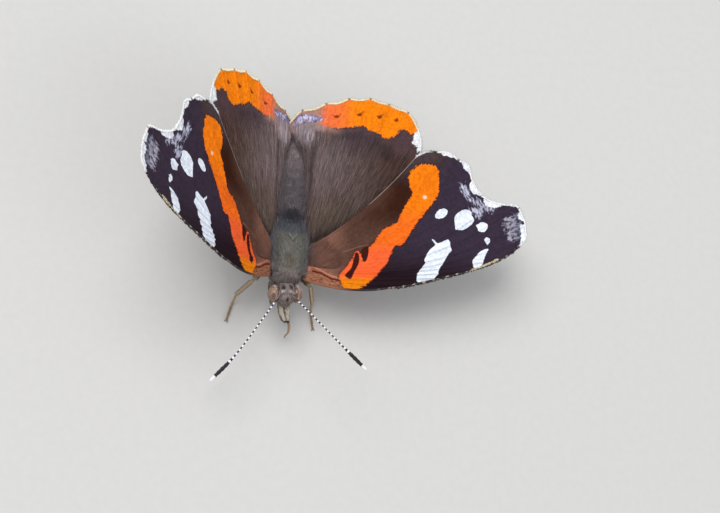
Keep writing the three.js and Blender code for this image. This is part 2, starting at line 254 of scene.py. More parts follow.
def read_points(piece: Object) -> Array:
    """Reads where a piece's points are.

    Args:
        piece: The piece.

    Returns:
        Its points as they are in the mesh, one row each.
    """
    points = np.empty(len(piece.data.vertices) * 3)
    piece.data.vertices.foreach_get("co", points)
    return points.reshape(-1, 3)


def write_points(piece: Object, points: Array) -> None:
    """Moves a piece's points.

    Args:
        piece: The piece.
        points: Where each goes, in millimetres from the thorax's centre.
    """
    piece.data.vertices.foreach_set("co", place(points).ravel())
    piece.data.update()


def write_attribute(piece: Object, name: str, values: Array) -> None:
    """Keeps a number, a colour or a vector for each point.

    Args:
        piece: The piece.
        name: The attribute's name.
        values: One row, or one number, for each point.
    """
    width = values.shape[1] if values.ndim == 2 else 1
    kind, key = {1: ("FLOAT", "value"), 3: ("FLOAT_VECTOR", "vector"), 4: ("FLOAT_COLOR", "color")}[width]
    made = piece.data.attributes.new(name, kind, "POINT")
    made.data.foreach_set(key, np.ascontiguousarray(values, np.float32).ravel())


def read_attribute(piece: Object, name: str) -> Array:
    """Reads the number that each point of a piece keeps.

    Args:
        piece: The piece.
        name: The attribute's name.

    Returns:
        One number for each point.
    """
    values = np.empty(len(piece.data.vertices), np.float32)
    piece.data.attributes[name].data.foreach_get("value", values)
    return values


def finish_piece(piece: Object, finish: Material | None = None, nodes: tuple = ()) -> None:
    """Gives a piece its finish and ties it to the frame.

    Args:
        piece: The piece, in place.
        finish: Its finish, unless it has it already.
        nodes: The solids that it stands for.
    """
    if finish:
        piece.data.materials.append(finish)
    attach(piece, BODY)
    if nodes:
        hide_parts(*nodes)
    LOG.info("%s: %d faces", piece.name, len(piece.data.polygons))


def facing_out(piece: Object) -> None:
    """Turns the faces of a closed piece outwards and smooths them.

    Args:
        piece: The piece.
    """
    bpy.ops.object.select_all(action="DESELECT")
    bpy.context.view_layer.objects.active = piece
    piece.select_set(True)
    bpy.ops.object.mode_set(mode="EDIT")
    bpy.ops.mesh.select_all(action="SELECT")
    bpy.ops.mesh.normals_make_consistent(inside=False)
    bpy.ops.object.mode_set(mode="OBJECT")
    bpy.ops.object.shade_smooth()
    piece.select_set(False)


def round_limb(ahead: Array) -> tuple[Array, Array]:
    """Returns which way is across and which is above, for a limb that points ahead."""
    across = unit(np.cross(ahead, np.array([0.02, 0.03, 1.0])))
    return across, np.cross(across, ahead)


def swept(name: str, path: Rows, radii: Rows, sides: int = 16, rings: int = 48,
          flatten: float = 1.0) -> Object:
    """Draws a sphere out along a path, as a limb with round ends.

    Args:
        name: The piece's name.
        path: The points that the limb runs through.
        radii: Its radii, evenly spaced from start to end.
        sides: Faces round it.
        rings: Faces along it.
        flatten: Its width from side to side, as a share of its height.

    Returns:
        The limb, with its share of the way from the start as the attribute "along", and how far
        each point faces up as "over".
    """
    bpy.ops.mesh.primitive_uv_sphere_add(segments=sides, ring_count=rings, radius=1)
    limb = bpy.context.object
    limb.name = limb.data.name = name
    ball = read_points(limb)
    along = np.arccos(np.clip(ball[:, 2], -1, 1)) / math.pi
    turn = np.arctan2(ball[:, 1], ball[:, 0])
    fine = spline(path, np.linspace(0, len(path) - 1, 400))
    steps = np.r_[0, np.cumsum(np.linalg.norm(np.diff(fine, axis=0), axis=1))]
    length = steps[-1]
    travelled = along * length
    centre = np.stack([np.interp(travelled, steps, fine[:, i]) for i in range(3)], 1)
    ahead = unit(np.stack([np.interp(travelled, steps, np.gradient(fine[:, i])) for i in range(3)], 1))
    radius = np.interp(along, np.linspace(0, 1, len(radii)), radii)
    end_gap = np.minimum(travelled, length - travelled)
    cap = np.clip(end_gap / np.maximum(radius, 1e-6), 0, 1)
    radius = radius * np.sqrt(np.clip(1 - (1 - cap) ** 2, 0, 1))
    across, above = round_limb(ahead)
    offset = across * (np.cos(turn) * flatten)[:, None] + above * np.sin(turn)[:, None]
    write_points(limb, centre + offset * radius[:, None])
    write_attribute(limb, "along", along)
    write_attribute(limb, "over", np.sin(turn))
    facing_out(limb)
    return limb


def straight(root: Array, lie: Array, reach: Array) -> Array:
    """Lays out the lines of straight tufts.

    Args:
        root: Where each tuft starts.
        lie: Which way it points.
        reach: Its length, as a column.

    Returns:
        The root, the middle and the tip of each tuft.
    """
    return np.stack([root, root + lie * reach * 0.5, root + lie * reach], 1)


def settling(root: Array, along: Array, outward: Array, tilt: Array, reach: Array,
             settle: float) -> Array:
    """Lays out the lines of tufts that stand off at the root and lie flatter towards the tip.

    Args:
        root: Where each tuft starts.
        along: Which way the coat lies there.
        outward: Away from the skin there.
        tilt: How steeply each stands off at its root, in radians, as a column.
        reach: Its length, as a column.
        settle: The share of the tilt that is left in its outer half.

    Returns:
        The root, the middle and the tip of each tuft.
    """
    inner, outer = (along * np.cos(angle) + outward * np.sin(angle) for angle in (tilt, tilt * settle))
    middle = root + inner * reach * 0.5
    return np.stack([root, middle, middle + outer * reach * 0.5], 1)


def tufts(name: str, spines: Array, outward: Array, width: Array, hue: Array,
          unwrap: Array, taper: tuple = (1.0, 0.8), thick: float = 0.35,
          root_shade: float = 0.72) -> Object:
    """Joins many thin tapered tufts in one mesh.

    Args:
        name: The piece's name.
        spines: The line of each tuft from root to tip, as tufts by points by coordinates.
        outward: Away from the skin at each root.
        width: The width of each tuft at its root.
        hue: The colour of each tuft.
        unwrap: The place of each root on an unwrap of the skin, from 0 to 1.
        taper: The share of the width that is left at each point but the tip.
        thick: The height of a tuft, as a share of its width.
        root_shade: How light a tuft is at its root, as a share of its tip: painted shade, where the coat
            shades its own roots.

    Returns:
        The coat piece, with the colour of each tuft as the attribute "tint", darkened at its root
        by painted shade.
    """
    count, points = spines.shape[:2]
    ahead = unit(spines[:, -1] - spines[:, 0])
    side = unit(np.cross(ahead, outward))
    above = np.cross(side, ahead)
    rings = points - 1
    widths = np.interp(np.linspace(0, 1, rings), np.linspace(0, 1, len(taper)), taper)
    corners = np.empty((count, 3 * rings + 1, 3))
    for ring in range(rings):
        half = side * (width * widths[ring] / 2)[:, None]
        crest = above * (width * widths[ring] * thick)[:, None]
        corners[:, 3 * ring] = spines[:, ring] - half
        corners[:, 3 * ring + 1] = spines[:, ring] + half
        corners[:, 3 * ring + 2] = spines[:, ring] + crest
    corners[:, -1] = spines[:, -1]
    per_tuft = corners.shape[1]
    coat, loops = joined_tufts(name, corners)
    heights = np.minimum(np.arange(per_tuft) // 3, rings) / rings
    sideways = np.r_[np.tile([0, 1, 0.5], rings), 0.5]
    patch = np.stack([sideways, heights], 1) * UNWRAP_PATCH
    spread = np.clip(unwrap, 0.002, 0.994)[:, None] + patch[None]
    layer = coat.data.uv_layers.new(name="OFBake")
    layer.data.foreach_set("uv", spread.reshape(-1, 2)[loops].astype(np.float32).ravel())
    # Each tuft darkens towards its root: painted shade, where the coat shades its own roots.
    shade = root_shade + (1 - root_shade) * heights
    tint = np.repeat(hue[:, None], per_tuft, 1) * shade[None, :, None]
    tint[..., 3] = 1
    write_attribute(coat, "tint", tint.reshape(-1, 4))
    return coat


def joined_tufts(name: str, corners: Array) -> tuple[Object, Array]:
    """Makes the mesh of many tufts, each with rings of three corners and a tip.

    Args:
        name: The piece's name.
        corners: The corners of each tuft, as tufts by corners by coordinates.

    Returns:
        The piece, and the corner that each loop of its faces is at.
    """
    count, per_tuft = corners.shape[:2]
    last = per_tuft - 4
    shapes = [(0, 1, 2)]
    for base in range(0, last, 3):
        for first, second in ((0, 1), (1, 2), (2, 0)):
            shapes.append((base + second, base + first, base + 3 + first, base + 3 + second))
    shapes += [(last + second, last + first, last + 3) for first, second in ((0, 1), (1, 2), (2, 0))]
    loops = (np.concatenate(shapes)[None] + per_tuft * np.arange(count)[:, None]).ravel()
    sizes = np.tile([len(shape) for shape in shapes], count)
    mesh = bpy.data.meshes.new(name)
    mesh.vertices.add(count * per_tuft)
    mesh.loops.add(len(loops))
    mesh.polygons.add(len(sizes))
    mesh.vertices.foreach_set("co", place(corners.reshape(-1, 3)).ravel())
    mesh.loops.foreach_set("vertex_index", loops)
    mesh.polygons.foreach_set("loop_start", np.r_[0, np.cumsum(sizes)[:-1]])
    mesh.update(calc_edges=True)
    piece = bpy.data.objects.new(name, mesh)
    bpy.context.collection.objects.link(piece)
    return piece, loops


# Finishes

# The colour sockets of a Mix node, which share their names with those for numbers
MIX_FACTOR, MIX_FIRST, MIX_SECOND, MIX_RESULT = 0, 6, 7, 2


def add_node(tree: NodeTree, kind: str, inputs: dict | None = None, **settings: str) -> Node:
    """Adds a shader node.

    Args:
        tree: The material's node tree.
        kind: The node's type, without the word ShaderNode.
        inputs: For each input, by name or number, its value, or the socket or node to link from.
        settings: Properties of the node.

    Returns:
        The node.
    """
    node = tree.nodes.new(f"ShaderNode{kind}")
    for key, value in settings.items():
        setattr(node, key, value)
    for key, value in (inputs or {}).items():
        if isinstance(value, Node):
            value = value.outputs[MIX_RESULT if value.bl_idname == "ShaderNodeMix" else 0]
        if isinstance(value, NodeSocket):
            tree.links.new(value, node.inputs[key])
        else:
            node.inputs[key].default_value = value
    return node


@dataclass(frozen=True)
class Finish:
    """A finish whose shader takes one colour and one height."""

    name: str
    roughness: float
    sheen: float = 0.0
    specular: float = 0.4
    coat: float = 0.0
    relief_mm: float = 0.02
    relief_strength: float = 0.4

    def colour_and_height(self, tree: NodeTree) -> tuple[Node, Node]:
        """Returns the nodes of the colour and the relief."""
        raise NotImplementedError

    def build(self) -> Material:
        """Makes the material.

        Returns:
            The material, with its nodes.
        """
        material = bpy.data.materials.new(self.name)
        material.use_nodes = True
        tree = material.node_tree
        tree.nodes.clear()
        colour, height = self.colour_and_height(tree)
        bump = add_node(tree, "Bump", {
            "Strength": self.relief_strength, "Distance": self.relief_mm * MM, "Height": height})
        shader = add_node(tree, "BsdfPrincipled", {
            "Base Color": colour, "Roughness": self.roughness, "Sheen Weight": self.sheen,
            "Sheen Roughness": 0.5, "Specular IOR Level": self.specular,
            "Coat Weight": self.coat, "Coat Roughness": 0.15, "Normal": bump})
        add_node(tree, "OutputMaterial", {"Surface": shader})
        return material


class Grain(Enum):
    """What makes the edge of a marking ragged."""

    PATCH = "small patches"
    STROKE = "strokes along the wing"
    SCALE = "single scales"


@dataclass(frozen=True)
class Layer:
    """A marking that lies on the ground colour where an attribute is above 0."""

    mask: str
    # A hex colour, or the attribute that holds the colour of each point
    colour: str
    # Half the width of its blurred edge, and how far its grain moves that edge, in millimetres
    soft: float = 0.05
    ragged: float = 0.25
    strength: float = 1.0
    grain: Grain = Grain.PATCH


@dataclass(frozen=True)
class WingScales(Finish):
    """Rows of overlapping wing scales: matt, a little silky, and ragged where colours meet."""

    ground: str = "ground"
    layers: tuple = ()
    speckle: float = 0.25
    streak: float = 0.3
    # A real scale is 0.1 mm wide. It is drawn at 0.2 mm, or it would be finer than a pixel.
    scale_mm: float = 0.2

    def colour_and_height(self, tree: NodeTree) -> tuple[Node, Node]:
        """Lays the markings over the ground colour.

        Args:
            tree: The material's node tree.

        Returns:
            The nodes of the colour and the relief.
        """
        lie = add_node(tree, "Attribute", attribute_name="lie").outputs["Vector"]
        rows, long_way, short_way = (
            add_node(tree, "VectorMath", {0: lie, 1: (1, along, 1)}, operation="MULTIPLY")
            for along in (0.6, 0.07, 0.35))
        patches, streaks, strokes = (
            add_node(tree, "TexNoise", {
                "Vector": way, "Scale": 1 / grain_mm, "Detail": detail, "Roughness": roughness})
            for way, grain_mm, detail, roughness in (
                (lie, 0.3, 3.0, 0.65), (long_way, 0.4, 3.0, 0.6), (short_way, 0.2, 2.0, 0.75)))
        scales = add_node(tree, "TexVoronoi", {
            "Vector": rows, "Scale": 1 / self.scale_mm, "Randomness": 0.7})
        cell = add_node(tree, "SeparateColor", {0: scales.outputs["Color"]})
        grains = {Grain.PATCH: patches, Grain.STROKE: strokes, Grain.SCALE: cell}
        colour = add_node(tree, "Attribute", attribute_name=self.ground)
        for layer in self.layers:
            mask = add_node(tree, "Attribute", attribute_name=layer.mask).outputs["Fac"]
            jitter = add_node(tree, "Math", {0: grains[layer.grain], 1: 0.5}, operation="SUBTRACT")
            edge = add_node(tree, "Math", {0: jitter, 1: layer.ragged, 2: mask}, operation="MULTIPLY_ADD")
            share = add_node(tree, "MapRange", {
                "Value": edge, "From Min": -layer.soft, "From Max": layer.soft,
                "To Max": layer.strength}, interpolation_type="SMOOTHSTEP")
            if layer.colour.startswith("#"):
                paint = linear(layer.colour)
            else:
                paint = add_node(tree, "Attribute", attribute_name=layer.colour)
            colour = add_node(tree, "Mix", {
                MIX_FACTOR: share, MIX_FIRST: colour, MIX_SECOND: paint}, data_type="RGBA")
        for source, amount in ((cell.outputs["Green"], self.speckle), (streaks, self.streak)):
            lightness = add_node(tree, "MapRange", {
                "Value": source, "From Min": 0.15, "From Max": 0.85,
                "To Min": 1 - amount / 2, "To Max": 1 + amount / 2})
            colour = add_node(tree, "VectorMath", {0: colour, "Scale": lightness}, operation="SCALE")
        height = add_node(tree, "Math", {0: streaks, 1: scales}, operation="SUBTRACT")
        return colour, height


@dataclass(frozen=True)
class Tinted(Finish):
    """A finish that takes its colour from the piece's points and varies it in small patches."""

    patch_mm: float = 0.25
    variety: float = 0.3

    def colour_and_height(self, tree: NodeTree) -> tuple[Node, Node]:
        """Varies the colour of the points.

        Args:
            tree: The material's node tree.

        Returns:
            The nodes of the colour and the relief.
        """
        spot = add_node(tree, "TexCoord").outputs["Object"]
        patches = add_node(tree, "TexNoise", {
            "Vector": spot, "Scale": 1 / (self.patch_mm * MM), "Detail": 2.0, "Roughness": 0.6})
        colour = add_node(tree, "Attribute", attribute_name="tint")
        lightness = add_node(tree, "MapRange", {
            "Value": patches, "From Min": 0.25, "From Max": 0.75,
            "To Min": 1 - self.variety / 2, "To Max": 1 + self.variety / 2})
        shaded = add_node(tree, "VectorMath", {0: colour, "Scale": lightness}, operation="SCALE")
        return shaded, patches


@dataclass(frozen=True)
class Facets(Finish):
    """An insect's compound eye: brown, glossy, with fine facets and dark clouds."""

    # A real facet is 0.025 mm across. It is drawn at 0.09 mm, so that it shows at all.
    facet_mm: float = 0.09
    cloud_mm: float = 0.7

    def colour_and_height(self, tree: NodeTree) -> tuple[Node, Node]:
        """Draws the facets.

        Args:
            tree: The material's node tree.

        Returns:
            The nodes of the colour and the relief.
        """
        spot = add_node(tree, "TexCoord").outputs["Object"]
        cells = add_node(tree, "TexVoronoi", {
            "Vector": spot, "Scale": 1 / (self.facet_mm * MM), "Randomness": 0.25})
        clouds = add_node(tree, "TexNoise", {
            "Vector": spot, "Scale": 1 / (self.cloud_mm * MM), "Detail": 2.0})
        tint = add_node(tree, "Attribute", attribute_name="tint")
        share = add_node(tree, "MapRange", {
            "Value": clouds, "From Min": 0.42, "From Max": 0.6, "To Max": 0.6},
            interpolation_type="SMOOTHSTEP")
        colour = add_node(tree, "Mix", {
            MIX_FACTOR: share, MIX_FIRST: tint, MIX_SECOND: linear("#2a1a10")}, data_type="RGBA")
        height = add_node(tree, "Math", {0: 1.0, 1: cells}, operation="SUBTRACT")
        return colour, height


@dataclass(frozen=True)
class Ringed(Finish):
    """Black feeler scales with a white spot on each segment, a brown-edged club and a white tip."""

    segments: int = 24
    first: float = 0.12
    last: float = 0.79
    grain_mm: float = 0.1

    def colour_and_height(self, tree: NodeTree) -> tuple[Node, Node]:
        """Draws the rings, the brown-edged club and its pale tip.

        Args:
            tree: The material's node tree.

        Returns:
            The nodes of the colour and the relief.
        """
        along, over = (add_node(tree, "Attribute", attribute_name=name).outputs["Fac"]
                       for name in ("along", "over"))
        spot = add_node(tree, "TexCoord").outputs["Object"]
        grain = add_node(tree, "TexNoise", {
            "Vector": spot, "Scale": 1 / (self.grain_mm * MM), "Detail": 2.0})
        count = add_node(tree, "Math", {0: along, 1: float(self.segments)}, operation="MULTIPLY")
        wave = add_node(tree, "Math", {0: count, 1: 0.5}, operation="PINGPONG")
        dome = add_node(tree, "Math", {0: over, 1: 0.11, 2: wave}, operation="MULTIPLY_ADD")
        ring = add_node(tree, "MapRange", {
            "Value": dome, "From Min": 0.32, "From Max": 0.4}, interpolation_type="SMOOTHSTEP")
        after = add_node(tree, "Math", {0: along, 1: self.first}, operation="GREATER_THAN")
        before = add_node(tree, "Math", {0: along, 1: self.last}, operation="LESS_THAN")
        shaft = add_node(tree, "Math", {0: after, 1: before}, operation="MULTIPLY")
        white = add_node(tree, "Math", {0: ring, 1: shaft}, operation="MULTIPLY")
        tip = add_node(tree, "MapRange", {
            "Value": along, "From Min": 0.935, "From Max": 0.945}, interpolation_type="SMOOTHSTEP")
        pale = add_node(tree, "Math", {0: white, 1: tip}, operation="MAXIMUM")
        club = add_node(tree, "MapRange", {"Value": along, "From Min": 0.8, "From Max": 0.84})
        edge = add_node(tree, "MapRange", {"Value": over, "From Min": 0.45, "From Max": -0.1})
        tan = add_node(tree, "Math", {0: club, 1: edge}, operation="MULTIPLY")
        base = add_node(tree, "MapRange", {"Value": along, "From Min": 0.12, "From Max": 0.09})
        colour = linear("#17141a")
        for share, paint in ((tan, "#7d6149"), (base, "#74645c"), (pale, "#f6f1f7")):
            colour = add_node(tree, "Mix", {
                MIX_FACTOR: share, MIX_FIRST: colour, MIX_SECOND: linear(paint)}, data_type="RGBA")
        return colour, grain


@dataclass(frozen=True)
class Studio:
    """The plain floor, the soft light and the camera."""

    # The lens, as the picture's focal length and width in pixels, on a sensor of this width
    focal_px: float = 1400.0
    picture_width: int = 720
    sensor_mm: float = 36.0
    # The camera's axes, and its place along them from the thorax's centre, in millimetres
    right: tuple = (0.9486525, 0.0560483, 0.3113151)
    up: tuple = (-0.1451673, 0.9515574, 0.2710443)
    back: tuple = (-0.2810426, -0.3023196, 0.9108336)
    offset: tuple = (9.772, -0.712, 186.5605)
    # Lengths in metres: the floor, and each lamp's name, place, size and power
    floor_size: float = 3.0
    lamps: tuple = (("key_lamp", (-0.25, 0.18, 0.6), 0.45, 3.4),
                    ("fill_lamp", (0.4, -0.35, 0.35), 0.6, 1.0))

    def floor(self) -> None:
        """Lays the pale floor."""
        bpy.ops.mesh.primitive_plane_add(size=self.floor_size, location=(0, 0, 0))
        floor = bpy.context.object
        floor.name = "studio_floor"
        material = bpy.data.materials.new("matt_paper_backdrop")
        material.use_nodes = True
        tree = material.node_tree
        shader = tree.nodes["Principled BSDF"]
        # Matt paper: pale grey, with hardly any gloss.
        fibres = add_node(tree, "TexNoise", {
            "Vector": add_node(tree, "TexCoord").outputs["Object"], "Scale": 900.0})
        tone = add_node(tree, "Mix", {
            MIX_FACTOR: fibres, MIX_FIRST: linear("#cfcdc9"), MIX_SECOND: linear("#d5d3cf")},
            data_type="RGBA")
        tree.links.new(tone.outputs[MIX_RESULT], shader.inputs["Base Color"])
        shader.inputs["Roughness"].default_value = 0.9
        floor.data.materials.append(material)

    def lights(self) -> None:
        """Hangs two large soft lamps in a pale room."""
        world = bpy.data.worlds.new("pale_room")
        bpy.context.scene.world = world
        world.use_nodes = True
        backdrop = world.node_tree.nodes["Background"]
        backdrop.inputs["Color"].default_value = linear("#e8edf5")
        backdrop.inputs["Strength"].default_value = 0.55
        for name, spot, size, power in self.lamps:
            lamp = bpy.data.lights.new(name, "AREA")
            lamp.size = size
            lamp.energy = power
            holder = bpy.data.objects.new(name, lamp)
            bpy.context.collection.objects.link(holder)
            holder.location = spot
            holder.rotation_mode = "QUATERNION"
            holder.rotation_quaternion = self.facing(unit(-np.array(spot))).to_quaternion()

    @staticmethod
    def facing(ahead: Array) -> Matrix:
        """Turns an object's -Z axis.

        Args:
            ahead: Where it points.

        Returns:
            The turn, as a matrix.
        """
        across = unit(np.cross(ahead, np.array([0, 0, 1.0])))
        above = np.cross(across, ahead)
        return Matrix(np.stack([across, above, -ahead], 1).tolist())

    def camera(self) -> None:
        """Sets the camera where the photograph was taken from."""
        data = bpy.data.cameras.new("camera")
        data.sensor_width = self.sensor_mm
        data.lens = self.focal_px / self.picture_width * self.sensor_mm
        data.clip_start, data.clip_end = 0.005, 5.0
        camera = bpy.data.objects.new("camera", data)
        bpy.context.collection.objects.link(camera)
        axes = np.stack([self.right, self.up, self.back], 1)
        camera.rotation_mode = "QUATERNION"
        camera.rotation_quaternion = Matrix(axes.tolist()).to_quaternion()
        camera.location = place(axes @ np.array(self.offset))
        bpy.context.scene.camera = camera

    def build(self) -> None:
        """Sets up the whole studio."""
        bpy.context.scene.view_settings.view_transform = "Standard"
        self.floor()
        self.lights()
        self.camera()
        LOG.info("studio ready")


# Wings

class Pair(Enum):
    """The two pairs of wings."""

    FORE = "forewing"
    HIND = "hindwing"


@dataclass(frozen=True)
class Ray:
    """A vein's line from the root: its half-way point, its end, and how the margin swells after it."""

    half: tuple
    end: tuple
    bulge: float = 0.0
    vein: float | None = None


FORE_RAYS = (
    Ray((5.2, 3.4), (11.6, 3.05), 0.1),
    Ray((7.0, 2.65), (15.2, 2.4), 0.05, 0),
    Ray((8.6, 2.05), (19.0, 1.4), 0.05, 0.35),
    Ray((10.6, 1.5), (22.8, 0.3), 0.15, 0.45),
    Ray((12.6, 1.0), (27.3, -1.5), 0.3, 0),
    Ray((14.0, 0.5), (30.9, -4.5), 0.1, 0.5),
    Ray((14.4, -0.1), (30.9, -6.8), 0.1, 0.55),
    Ray((14.5, -0.9), (29.7, -9.1), -0.15, 0.5),
    Ray((13.9, -2.0), (26.4, -9.4), -0.35, 0.5),
    Ray((12.8, -3.2), (23.9, -11.2), -0.25, 0.5),
    Ray((11.5, -4.3), (22.7, -14.4), -0.1, 0),
    Ray((9.6, -5.3), (20.0, -16.05), 0.05, 0.3),
    Ray((7.7, -6.2), (16.9, -16.05), 0.15, 0),
    Ray((7.0, -6.8), (15.2, -15.2)),
)
HIND_RAYS = (
    Ray((6.8, -1.4), (14.6, -10.4), 0.2),
    Ray((7.2, -3.0), (15.8, -13.6), 0.1, 0),
    Ray((7.3, -4.8), (15.6, -16.0), 0.15, 0.3),
    Ray((6.8, -6.6), (14.0, -18.8), -0.1, 0.45),
    Ray((5.9, -7.9), (11.2, -19.75), -0.15, 0.5),
    Ray((4.9, -8.9), (8.6, -20.35), -0.2, 0.45),
    Ray((3.7, -9.4), (5.6, -20.1), -0.25, 0),
    Ray((2.3, -9.4), (2.4, -19.2), -0.25, 0.3),
    Ray((0.7, -8.9), (-0.9, -18.0), -0.05, 0),
    Ray((-1.4, -8.5), (-3.1, -16.7)),
)

# Markings, out from the hinge and forward of it
BAND = [
    (5.3, 3.6), (6.9, 3.5), (8.2, 2.75), (9.4, 1.7), (10.2, 0.7), (11, -0.2), (11.5, -1.3),
    (11.9, -2.3), (12.15, -2.7), (12.75, -2.7), (13.4, -3), (13.8, -3.7), (14.3, -4.6), (14.9, -5.6),
    (15.6, -6.45), (16.4, -7.5), (17, -8.25), (17.7, -9.1), (18.1, -9.9), (18.3, -10.6), (18.4, -11.7),
    (18.3, -12.4), (18.25, -13.3), (18, -13.8), (17.4, -14.1), (16.3, -14.1), (15.4, -13.9),
    (14.8, -13.5), (14.3, -12.9), (14, -12), (14.1, -11), (14.5, -10.2), (14.5, -9.7), (13.8, -8.6),
    (13, -7.2), (12.5, -5.9), (11.9, -5.5), (11, -5.1), (10.4, -4.7), (9.7, -3.6), (9.2, -2.9),
    (8.55, -2.3), (8.4, -1.4), (8.1, -0.5), (7.7, -0.35), (7.6, -0.95), (7.3, -1.55), (7, -1.8),
    (6.7, -1.6), (6.35, -0.8), (5.95, -0.15), (5.25, 0.8), (4.65, 1.4), (4.5, 2), (4.9, 2.6)]
NOTCH = [
    (5.35, 1.6), (5.65, 1.2), (6.2, 0.55), (6.5, -0.6), (6.7, -1.35), (6.95, -1.5), (7.2, -1.1),
    (7.2, -0.3), (6.9, 0.5), (6.5, 1.15), (6.2, 1.9), (5.8, 2)]
DARK_HOOK = [(7.5, -1.9), (8.4, -2.4), (8.45, -1.3), (8.05, -0.3), (7.65, -0.8)]
OVAL = [
    (17.7, -6.8), (17.9, -7.4), (18.4, -7.9), (19.1, -8.05), (19.5, -7.75), (19.4, -7.3), (18.9, -6.8),
    (18.2, -6.6)]
WHITES = [
    [(20.5, -7.05), (21, -7.6), (21.5, -7.9), (22, -8.1), (22.5, -8.05), (23, -7.85), (22.9, -7.4),
     (23.3, -6.7), (23, -6.1), (22.3, -5.55), (21.6, -5.2), (20.6, -5.2), (20.5, -6.3)],
    [(23.5, -5.95), (23.9, -6.15), (24.3, -6.45), (24.8, -6.4), (25.2, -6.15), (25.2, -5.75),
     (25, -5.35), (24.7, -5.05), (23.85, -5.15), (23.8, -5.6)],
    [(24.7, -4.1), (25.05, -4.4), (25.5, -4.2), (25.5, -3.65), (25.2, -3.3), (24.8, -3.75)],
    [(22.95, -0.9), (23.3, -1.5), (24.2, -2.4), (24.8, -2.7), (25.4, -2.85), (25, -2.15), (24.65, -1.3),
     (24.4, -0.5), (23.8, 0), (23.2, 0.1)],
    [(17.2, -3.7), (17.4, -3.75), (18.05, -3.2), (18.7, -3.45), (19.5, -3.85), (19.8, -3.5),
     (19.85, -2.9), (20.1, -2.3), (19.7, -2), (19.3, -1.4), (19, -0.8), (18.6, -0.2), (18.2, 0.4),
     (18.1, 1), (17.5, 1.7), (16.4, 2.15), (15.5, 2.4), (15.1, 2), (15.2, 1.05), (15.7, 0.4),
     (16.35, -0.45), (16.2, -0.8), (16.4, -1.4), (16.7, -1.9), (17.1, -2.4), (17.8, -3)],
]
HAZE = [
    (27.9, -7), (28.65, -7.2), (29.1, -7.1), (29.35, -5.9), (29.15, -5.2), (29.35, -4.5), (28.45, -4.2),
    (28.2, -5.25), (27.9, -6.1)]
FAINT_HAZE = [(28.9, -7.6), (29.9, -7.25), (30.25, -6.2), (30.15, -4.8), (29.4, -4.35), (29.2, -5.6)]
DUSTINGS = [
    [(21.6, -11.35), (22.5, -10.1), (23.2, -9.3)],
    [(23.7, -9.25), (24.8, -8.6), (25.75, -8.2)],
    [(23.1, -7.85), (24.2, -8.15)],
    [(23.8, -7.3), (24.3, -7.85)],
]
WHITE_CHECKS = [
    [(18.5, -16.4), (19, -16.6), (20.9, -16.4), (21.5, -15.9), (20.7, -15.55), (19.5, -15.6),
     (18.9, -15.8)],
    [(21.9, -15.3), (22.7, -15.3), (23.7, -13.2), (23.2, -13), (22.6, -13.55), (22.1, -13.9),
     (21.9, -14.6)],
    [(23.5, -12.9), (24, -12.8), (24.5, -11.6), (25.4, -10.7), (24.8, -10.2), (24, -10.4),
     (23.3, -10.6), (23, -11.1), (22.9, -11.6), (23.25, -12)],
    [(25.2, -10.5), (26.2, -10.1), (27.7, -9.5), (27, -9), (26.4, -8.8), (25.4, -8.85), (24.9, -9.3)],
    [(28.6, -9.5), (29.2, -9.3), (29.2, -9.05), (28.6, -9.2)],
    [(29.9, -7.8), (30.6, -8.4), (31.1, -7.4), (30.2, -7.15)],
    [(30.2, -6.1), (31.4, -6.7), (31.5, -5.6), (30.4, -5.4)],
    [(30.4, -4.9), (31.5, -5.3), (31.5, -4.4), (30.7, -3.7), (30.2, -3.9)],
]
COSTAL_CREAM = [(23.1, 0.3), (24, 0.1), (24.8, -0.3), (25.7, -0.7), (26.6, -1.15)]
COSTAL_BASE = [
    (0.35, 1.1), (0.75, 0.6), (1.3, 0.75), (2.4, 1.15), (3.45, 1.65), (4.7, 2.2), (5.4, 3.9),
    (3.4, 4.2), (0.5, 3.6), (0.3, 2.2)]
PALE_RIDGE = [
    (0.5, 1.1), (0.6, 0.75), (0.9, 0.55), (1.45, 0.75), (2.1, 1.05), (3.25, 1.6), (4.4, 1.98),
    (4.85, 2.2)]
RED_LINE = [(0.98, 1.14), (2.1, 1.4), (2.95, 1.85), (3.6, 2.15), (5.1, 2.4)]
BASAL_NERVE = [(2.4, -0.2), (5.3, -1.6), (7.35, -2.35), (8.4, -2.6)]
CELL_BLUE = [(13.2, 2.0), (13.6, 0.6), (14.6, -1.2)]
# Forewing marks that are strokes, each with half its width
FORE_STROKES = {"cream": (COSTAL_CREAM, 0.32), "ridge": (PALE_RIDGE, 0.1), "red_line": (RED_LINE, 0.12),
                "nerve": (BASAL_NERVE, 0.07), "cell_blue": (CELL_BLUE, 0.3)}
PINK_SPOT = (16.3, -9.5)
HIND_BAND = [
    (1.3, -16.1), (1.9, -15.85), (2.8, -15.8), (3.4, -15.75), (4.15, -15.65), (4.75, -15.8),
    (5.45, -15.85), (6, -16), (6.7, -16.05), (7.2, -16.2), (7.7, -16.3), (8, -16), (8.4, -15.7),
    (9, -15.5), (9.6, -15.4), (10.05, -15.1), (10.55, -14.75), (11.3, -14.8), (12, -15.15),
    (12.4, -15.5), (12.6, -15.95), (13, -16.15), (13.8, -16.1), (14, -15.55), (14.4, -15.65),
    (17, -15.7), (17, -22), (8, -23), (1.4, -21), (0.9, -17.5)]
HIND_DOTS = [
    [(3.3, -17.5), (3.85, -17.35), (4.5, -17.75), (4.1, -17.2), (3.8, -16.95), (3.65, -17.2)],
    [(6.6, -17.8), (7, -17.9), (7.6, -18.35), (7.35, -17.75), (6.95, -17.55)],
    [(9.35, -17.8), (9.8, -17.85), (10.3, -18.05), (10.1, -17.6), (9.85, -17.4)],
    [(11.8, -17.4), (12.1, -17.55), (12.6, -17.8), (12.4, -17.3), (12.1, -17.15)],
]
